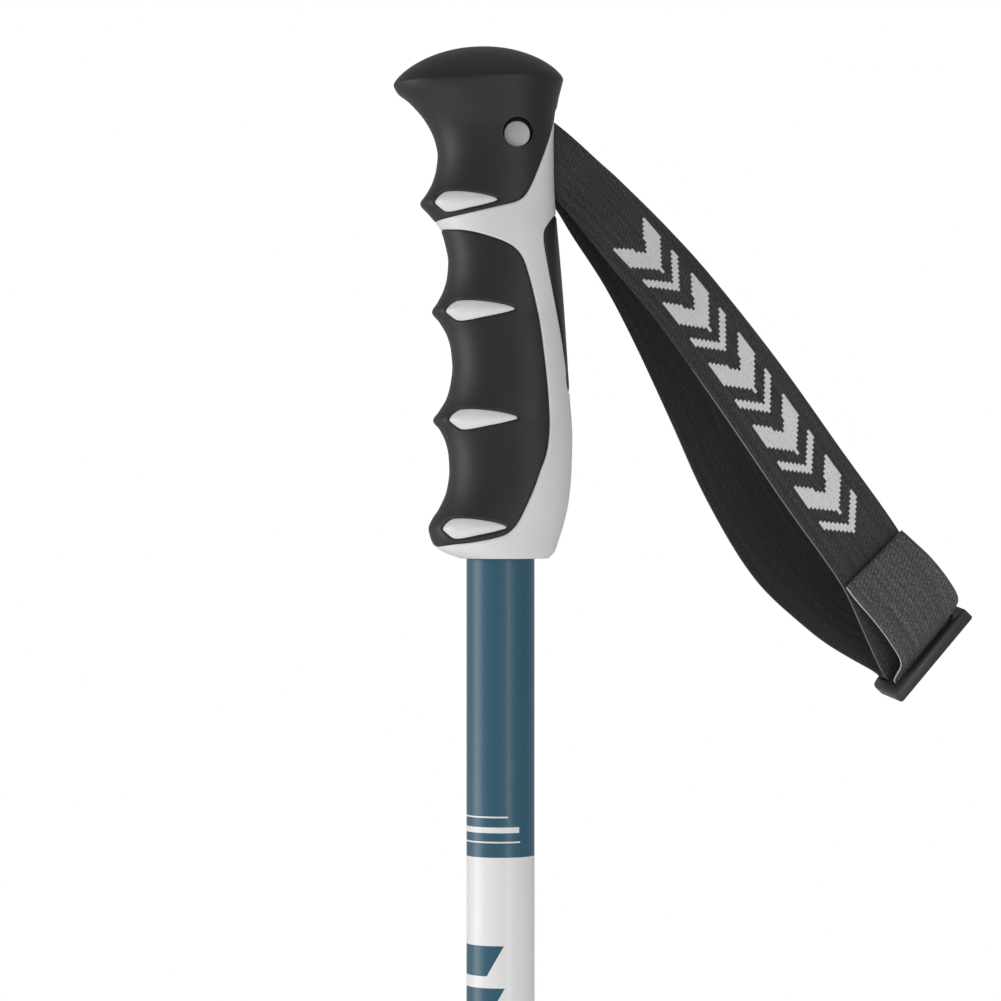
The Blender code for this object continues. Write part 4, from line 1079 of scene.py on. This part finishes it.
def build_tip(settings):
    # Bright ground steel, dulled in rings where it has met rock and ice.
    steel = ground_steel_material("carbide_steel_ground", settings.steel_colour, 0.3)
    # Tough polyamide has a coarser, scuffed grain, and is a shade greyer than the grip's covers.
    black = moulded_material("polyamide_moulded_black", settings.ferrule_colour, 0.44, 0.7, 0.02 * MM, 1.53)
    spike = (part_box("tip_spike")[1].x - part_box("tip_spike")[0].x) / 2
    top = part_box("tip_spike")[1].z
    point = [(spike * 0.5, 0), (spike * 0.76, 0.5 * MM), (spike, 1.6 * MM), (spike, top)]
    piece("ground_spike", turned(point, 0.15 * MM), steel, "pole", "hardened_steel", "tip_spike")
    low, high = (corner.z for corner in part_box("tip_ferrule"))
    ring_low, ring_high = (corner.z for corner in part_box("basket_retainer"))
    seat = settings.seat_diameter / 2
    seat_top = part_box("basket_hub")[1].z + FIT_GAP
    sleeve = settings.end_diameter / 2 + FIT_GAP + 1.6 * MM
    groove = 0.9 * MM
    body = turned([
        (spike + 1.6 * MM, low), (spike + 2.6 * MM, low + 6 * MM), (seat - 1.6 * MM, ring_low - 18 * MM),
        (seat, ring_low - 6 * MM), (seat, ring_low - FIT_GAP), (seat - groove, ring_low - FIT_GAP),
        (seat - groove, ring_high + FIT_GAP), (seat, ring_high + FIT_GAP), (seat, seat_top),
        (seat + 2.4 * MM, seat_top), (seat + 2.4 * MM, seat_top + 2.2 * MM),
        (seat + 0.6 * MM, seat_top + 3.6 * MM), (sleeve, high - 1 * MM), (sleeve - 0.4 * MM, high)],
        0.35 * MM)
    ferrule = piece("moulded_ferrule", body, black, "pole", "black_hard_plastic", "tip_ferrule")
    bore = settings.end_diameter / 2 + FIT_GAP
    socket = turned([(bore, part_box("shaft_tube")[0].z - FIT_GAP), (bore, high + 10 * MM)], 0)
    hole = turned([(spike + FIT_GAP, -5 * MM), (spike + FIT_GAP, top + FIT_GAP)], 0)
    flute = 0.8 * MM, seat_top + 9 * MM, high - 7 * MM, sleeve + 0.45 * MM
    flutes = [rod_around(*flute, k / FLUTES, 24) for k in range(FLUTES)]
    carve(ferrule, [socket, hole, *flutes], sharp=30)
    # Drawn spring wire is finer ringed than the spike, and as bright.
    spring = ground_steel_material("spring_steel_drawn", settings.steel_colour, 0.2)
    inner, outer = seat - groove + FIT_GAP, seat + 1.8 * MM
    section = [(outer, ring_low), (outer, ring_high), (inner, ring_high), (inner, ring_low)]
    ring = piece("snap_ring", turned(section, 0.4 * MM, closed=True), spring,
                 "pole", "hardened_steel", "basket_retainer")
    half, reach = 1.1 * MM, 20 * MM
    opening = ((0, -half), (reach, -half), (reach, half), (0, half))
    levels = (ring_low - 5 * MM, ring_high + 5 * MM)
    carve(ring, [lofted([[(x, y, z) for x, y in opening] for z in levels])])


def build_basket(settings):
    # The same tough plastic as the ferrule, so that the two read as one fitting.
    tough = moulded_material("polyamide_moulded_collar", settings.ferrule_colour, 0.44, 0.7, 0.02 * MM, 1.53)
    # Flexible polyurethane keeps a slight bloom, so it reads greyer than the collar it clips on.
    soft = moulded_material("polyurethane_moulded_basket", settings.basket_colour, 0.5, 0.9, 0.03 * MM, 1.5)
    low, high = (corner.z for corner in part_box("basket_hub"))
    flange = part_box("basket_hub")[1].x
    bore, wall = settings.seat_diameter / 2 + FIT_GAP, settings.seat_diameter / 2 + FIT_GAP + 2.6 * MM
    seat, thickness, height = 3 * MM, 2.4 * MM, high - low
    shelf = seat + thickness + 2 * FIT_GAP
    piece("basket_collar", turned([
        (bore, 0), (flange, 0), (flange, seat), (wall, seat), (wall, shelf), (flange, shelf),
        (flange, shelf + 2 * MM), (wall, height), (bore, height)], 0.4 * MM, closed=True, height=low), tough,
        "basket", "black_hard_plastic", "basket_hub")
    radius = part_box("basket_disc")[1].x
    under, cone, rim = seat + FIT_GAP, flange + FIT_GAP + 0.8 * MM, 3.5 * MM
    top = under + thickness
    cone_body = turned([
        (wall + FIT_GAP, under), (cone, under), (radius - rim, under - 3 * MM), (radius, under - 5 * MM),
        (radius, under - 2.5 * MM), (radius - rim, under - 0.8 * MM), (cone, top), (wall + FIT_GAP, top)],
        0.7 * MM, segments=128, closed=True, height=low)
    disc = piece("basket_cone", cone_body, soft, "basket", "basket_elastomer", "basket_disc")
    middle, count = (cone + radius - rim) / 2, settings.window_count
    windows = [rod_around(settings.window_diameter / 2, 0, 0.2, middle, k / count, 40) for k in range(count)]
    carve(disc, windows, bevel=0.35 * MM)


# ---------------------------------------------------------------- stage


def area_light(name, place, target, size, power, colour="FFFFFF"):
    """A soft rectangular light that faces its target and isn't seen itself."""
    light = bpy.data.lights.new(name, "AREA")
    light.shape = "RECTANGLE"
    light.size, light.size_y = size
    light.energy = power
    light.color = linear(colour)
    obj = bpy.data.objects.new(name, light)
    obj.location = place
    obj.rotation_mode = "QUATERNION"
    obj.rotation_quaternion = (Vector(target) - Vector(place)).to_track_quat("-Z", "Y")
    obj.visible_camera = False
    bpy.context.scene.collection.objects.link(obj)


def build_stage(settings):
    scene = bpy.context.scene
    camera = bpy.data.cameras.new("studio_camera")
    camera.lens = settings.lens
    camera.clip_start = 0.01
    obj = bpy.data.objects.new("studio_camera", camera)
    obj.location = (0, -settings.distance, settings.camera_height)
    obj.rotation_euler = (math.radians(90), 0, 0)
    scene.collection.objects.link(obj)
    scene.camera = obj
    scene.view_settings.view_transform = "Standard"

    world = bpy.data.worlds.new("white_studio")
    world.use_nodes = True
    scene.world = world
    tree = world.node_tree
    fill = tree.nodes["Background"]
    fill.inputs["Color"].default_value = tint(settings.fill_colour)
    fill.inputs["Strength"].default_value = settings.fill_strength
    # The backdrop is plain white where it is seen, and lights the pole with less than that.
    seen = add_node(tree, "Background", {"Color": (1, 1, 1, 1), "Strength": 1.0})[0]
    camera_ray = add_node(tree, "LightPath", {})["Is Camera Ray"]
    backdrop = add_node(tree, "MixShader", {"Fac": camera_ray, 1: fill.outputs[0], 2: seen})[0]
    set_inputs(tree, tree.nodes["World Output"], {"Surface": backdrop})

    # Uncoated card: a matt off-white with the faintest mottle of its fibres.
    card, tree, shader = new_material("card_sheet_matt", Roughness=0.9, IOR=1.45)
    place = add_node(tree, "TexCoord", {})["Object"]
    fibre = add_node(tree, "TexNoise", {"Vector": place, "Scale": 1 / FIBRE_SIZE, "Detail": 2.0})["Fac"]
    shades = {"A": tint(linear("F2F2F1")), "B": tint(linear("F7F7F6"))}
    set_inputs(tree, shader, {
        "Base Color": add_node(tree, "Mix", {"Factor": fibre, **shades}, data_type="RGBA")["Result"]})
    rim = circle(settings.floor_radius, 96)
    slab = lofted([[(x, y, z) for x, y in rim] for z in (-30 * MM, -0.5 * MM)])
    ground = plain_object("studio_floor", slab)
    ground.data.materials.append(card)

    grip, shaft = (0.03, 0, settings.camera_height), (0, 0, 1.0)
    area_light("key_left", (-2.2, -0.2, 0.98), grip, (1.2, 1.5), settings.key_power, "FFFDFB")
    area_light("strip_front", (1.1, -2.05, 0.98), grip, (0.42, 1.6), settings.strip_power)
    area_light("bounce_below", (-0.3, -0.85, 0.16), grip, (0.9, 0.6), settings.bounce_power)
    area_light("wash_top", (0.1, -0.2, 2.9), shaft, (1.4, 1.4), settings.top_power)


# ---------------------------------------------------------------- settings


def colour_setting(name, description, code):
    return bpy.props.FloatVectorProperty(
        name=name, description=description, subtype="COLOR", size=3, min=0, max=1, default=linear(code))


def length_setting(name, description, default):
    return bpy.props.FloatProperty(
        name=name, description=description, subtype="DISTANCE", unit="LENGTH", default=default)


def power_setting(name, description, default):
    return bpy.props.FloatProperty(
        name=name, description=description, subtype="POWER", unit="POWER", default=default)


class SkiPoleGrip(bpy.types.PropertyGroup):
    """Colours of the grip"""

    core_colour: colour_setting("Core", "Hard white plastic of the core and its bosses", "D6D6D6")
    cover_colour: colour_setting("Covers", "Soft black plastic moulded over the core", "171718")
    pin_colour: colour_setting("Pin", "Grey plastic of the strap's pin and cap", "ABABAB")


class SkiPoleStrap(bpy.types.PropertyGroup):
    """Colours and sizes of the wrist strap and its buckle"""

    webbing_colour: colour_setting("Webbing", "Gaps between the strap's threads", "0F0F0F")
    thread_colour: colour_setting("Threads", "Crowns of the strap's threads", "4A4A4A")
    # The back run's colours are darker partly from painted shade, for the inside of the loop.
    inner_shaded_ground: colour_setting("Inner webbing", "Gaps between the threads of the back run", "080808")
    inner_shaded_thread: colour_setting("Inner threads", "Crowns of the threads of the back run", "2C2C2C")
    motif_colour: colour_setting("Motif", "Pale threads of the woven chevrons", "DCDCDC")
    tail_ground: colour_setting("Tail", "Gaps between the tail's threads", "1C1C1C")
    tail_thread: colour_setting("Tail threads", "Crowns of the tail's threads", "787878")
    stitch_colour: colour_setting("Stitching", "Thread that holds the hem", "2C2C2C")
    buckle_colour: colour_setting("Buckle", "Plastic of the slider", "2B2B2C")
    motif_start: length_setting("Motif start", "Where the chevrons start along the front run", 55 * MM)
    motif_end: length_setting("Motif end", "Where the chevrons end along the front run", 154 * MM)
    hem_length: length_setting("Hem", "Length of the tail's doubled end", 8 * MM)
    anchor_ply: length_setting("Back ply", "Thickness of the back run", 1.25 * MM)


class SkiPoleShaft(bpy.types.PropertyGroup):
    """Colours and sizes of the shaft, its tip and its basket"""

    paint_colour: colour_setting("Paint", "Teal lacquer", "245469")
    ground_colour: colour_setting("Ground coat", "White lacquer", "E4E4E4")
    steel_colour: colour_setting("Steel", "Ground steel of the tip", "B9BABC")
    ferrule_colour: colour_setting("Ferrule", "Plastic of the ferrule and the basket's collar", "1E1E1F")
    basket_colour: colour_setting("Basket", "Flexible plastic of the basket", "2A2A2B")
    break_height: length_setting("Paint break", "Height of the teal lacquer's lower edge", 986.2 * MM)
    lower_break: length_setting("Lower break", "Height below which the lacquer is teal again", 470 * MM)
    end_diameter: length_setting("Lower diameter", "Diameter of the shaft's lower end", 11.5 * MM)
    wall: length_setting("Wall", "Thickness of the tube", 1.1 * MM)
    taper_from: length_setting("Taper from", "Height at which the shaft starts to taper", 420 * MM)
    taper_to: length_setting("Taper to", "Height at which the taper ends", 130 * MM)
    seat_diameter: length_setting("Basket seat", "Diameter of the ferrule where the basket turns", 15.6 * MM)
    window_diameter: length_setting("Window", "Diameter of each window in the basket", 9 * MM)
    window_count: bpy.props.IntProperty(
        name="Windows", description="Number of windows in the basket", default=6, min=0)

    def flags(self):
        """Middle height, half height and end of each painted flag, as the tube turns."""
        drop = self.break_height - 27.2 * MM
        return ((drop, 4.0 * MM, -1.4 * MM), (drop - 11.5 * MM, 4.4 * MM, -1.4 * MM), (0.52, 5 * MM, 6 * MM))

    def rules(self):
        """Middle height, half height and end of each pale rule above the break."""
        start = self.break_height
        return ((start + 4.0 * MM, 0.2 * MM, 5.5 * MM), (start + 7.2 * MM, 0.75 * MM, 5.2 * MM),
                (start + 10.6 * MM, 0.2 * MM, 2.0 * MM))


class SkiPoleStage(bpy.types.PropertyGroup):
    """Camera, light and floor"""

    distance: length_setting("Camera distance", "From the shaft's axis to the camera", 1.07)
    camera_height: length_setting("Camera height", "Height of the level camera", 1.08)
    lens: bpy.props.FloatProperty(
        name="Focal length", description="In millimetres on a 36 mm sensor", default=145.4)
    floor_radius: length_setting("Floor radius", "Radius of the pale floor", 7.0)
    fill_colour: colour_setting("Fill", "Colour of the light from all round", "FFFFFF")
    fill_strength: bpy.props.FloatProperty(
        name="Fill strength", description="Light from all round", default=0.46)
    key_power: power_setting("Key", "Large soft light at the left", 23)
    strip_power: power_setting("Strip", "Tall narrow light at the front", 11)
    bounce_power: power_setting("Bounce", "Low light that stands in for the floor's reflection", 4.3)
    top_power: power_setting("Top", "Soft light from above", 0.8)


# ---------------------------------------------------------------- operators and panel


class SKIPOLE_OT_grip(bpy.types.Operator):
    """Build the grip's white core and its three soft covers"""

    bl_idname = "skipole.grip"
    bl_label = "Grip"

    def execute(self, context):
        build_grip(context.scene.skipole_grip)
        return {"FINISHED"}


class SKIPOLE_OT_pin(bpy.types.Operator):
    """Build the pin that the strap swings on, and its cap"""

    bl_idname = "skipole.pin"
    bl_label = "Pin"

    def execute(self, context):
        build_pin(context.scene.skipole_grip)
        return {"FINISHED"}


class SKIPOLE_OT_strap(bpy.types.Operator):
    """Build the strap's front and back webbing"""

    bl_idname = "skipole.strap"
    bl_label = "Strap"

    def execute(self, context):
        build_strap(context.scene.skipole_strap)
        return {"FINISHED"}


class SKIPOLE_OT_buckle(bpy.types.Operator):
    """Build the slider buckle and the tail that wraps round its middle bar"""

    bl_idname = "skipole.buckle"
    bl_label = "Buckle and tail"

    def execute(self, context):
        build_buckle(context.scene.skipole_strap)
        return {"FINISHED"}


class SKIPOLE_OT_shaft(bpy.types.Operator):
    """Build the lacquered shaft"""

    bl_idname = "skipole.shaft"
    bl_label = "Shaft"

    def execute(self, context):
        build_shaft(context.scene.skipole_shaft)
        return {"FINISHED"}


class SKIPOLE_OT_tip(bpy.types.Operator):
    """Build the ferrule, the steel spike and the snap ring"""

    bl_idname = "skipole.tip"
    bl_label = "Tip"

    def execute(self, context):
        build_tip(context.scene.skipole_shaft)
        return {"FINISHED"}


class SKIPOLE_OT_basket(bpy.types.Operator):
    """Build the basket and its collar"""

    bl_idname = "skipole.basket"
    bl_label = "Basket"

    def execute(self, context):
        build_basket(context.scene.skipole_shaft)
        return {"FINISHED"}


class SKIPOLE_OT_stage(bpy.types.Operator):
    """Set up the camera, the soft light and the pale floor"""

    bl_idname = "skipole.stage"
    bl_label = "Stage"

    def execute(self, context):
        build_stage(context.scene.skipole_stage)
        return {"FINISHED"}


OPERATORS = (SKIPOLE_OT_grip, SKIPOLE_OT_pin, SKIPOLE_OT_strap, SKIPOLE_OT_buckle, SKIPOLE_OT_shaft,
             SKIPOLE_OT_tip, SKIPOLE_OT_basket, SKIPOLE_OT_stage)
GROUPS = {"skipole_grip": SkiPoleGrip, "skipole_strap": SkiPoleStrap, "skipole_shaft": SkiPoleShaft,
          "skipole_stage": SkiPoleStage}


class VIEW3D_PT_skipole(bpy.types.Panel):
    """The ski pole's settings and builders"""

    bl_label = "Ski Pole"
    bl_space_type = "VIEW_3D"
    bl_region_type = "UI"
    bl_category = "Ski Pole"

    def draw(self, context):
        for name, group in GROUPS.items():
            box = self.layout.box()
            for field in group.__annotations__:
                box.prop(getattr(context.scene, name), field)
        for operator in OPERATORS:
            self.layout.operator(operator.bl_idname)


CLASSES = (*GROUPS.values(), *OPERATORS, VIEW3D_PT_skipole)


def register():
    for cls in CLASSES:
        bpy.utils.register_class(cls)
    for name, group in GROUPS.items():
        setattr(bpy.types.Scene, name, bpy.props.PointerProperty(type=group))


def unregister():
    for name in GROUPS:
        delattr(bpy.types.Scene, name)
    for cls in reversed(CLASSES):
        bpy.utils.unregister_class(cls)


def main():
    register()
    for operator in OPERATORS:
        getattr(bpy.ops.skipole, operator.bl_idname.split(".")[1])()
    bpy.context.view_layer.update()


if __name__ == "__main__":
    main()
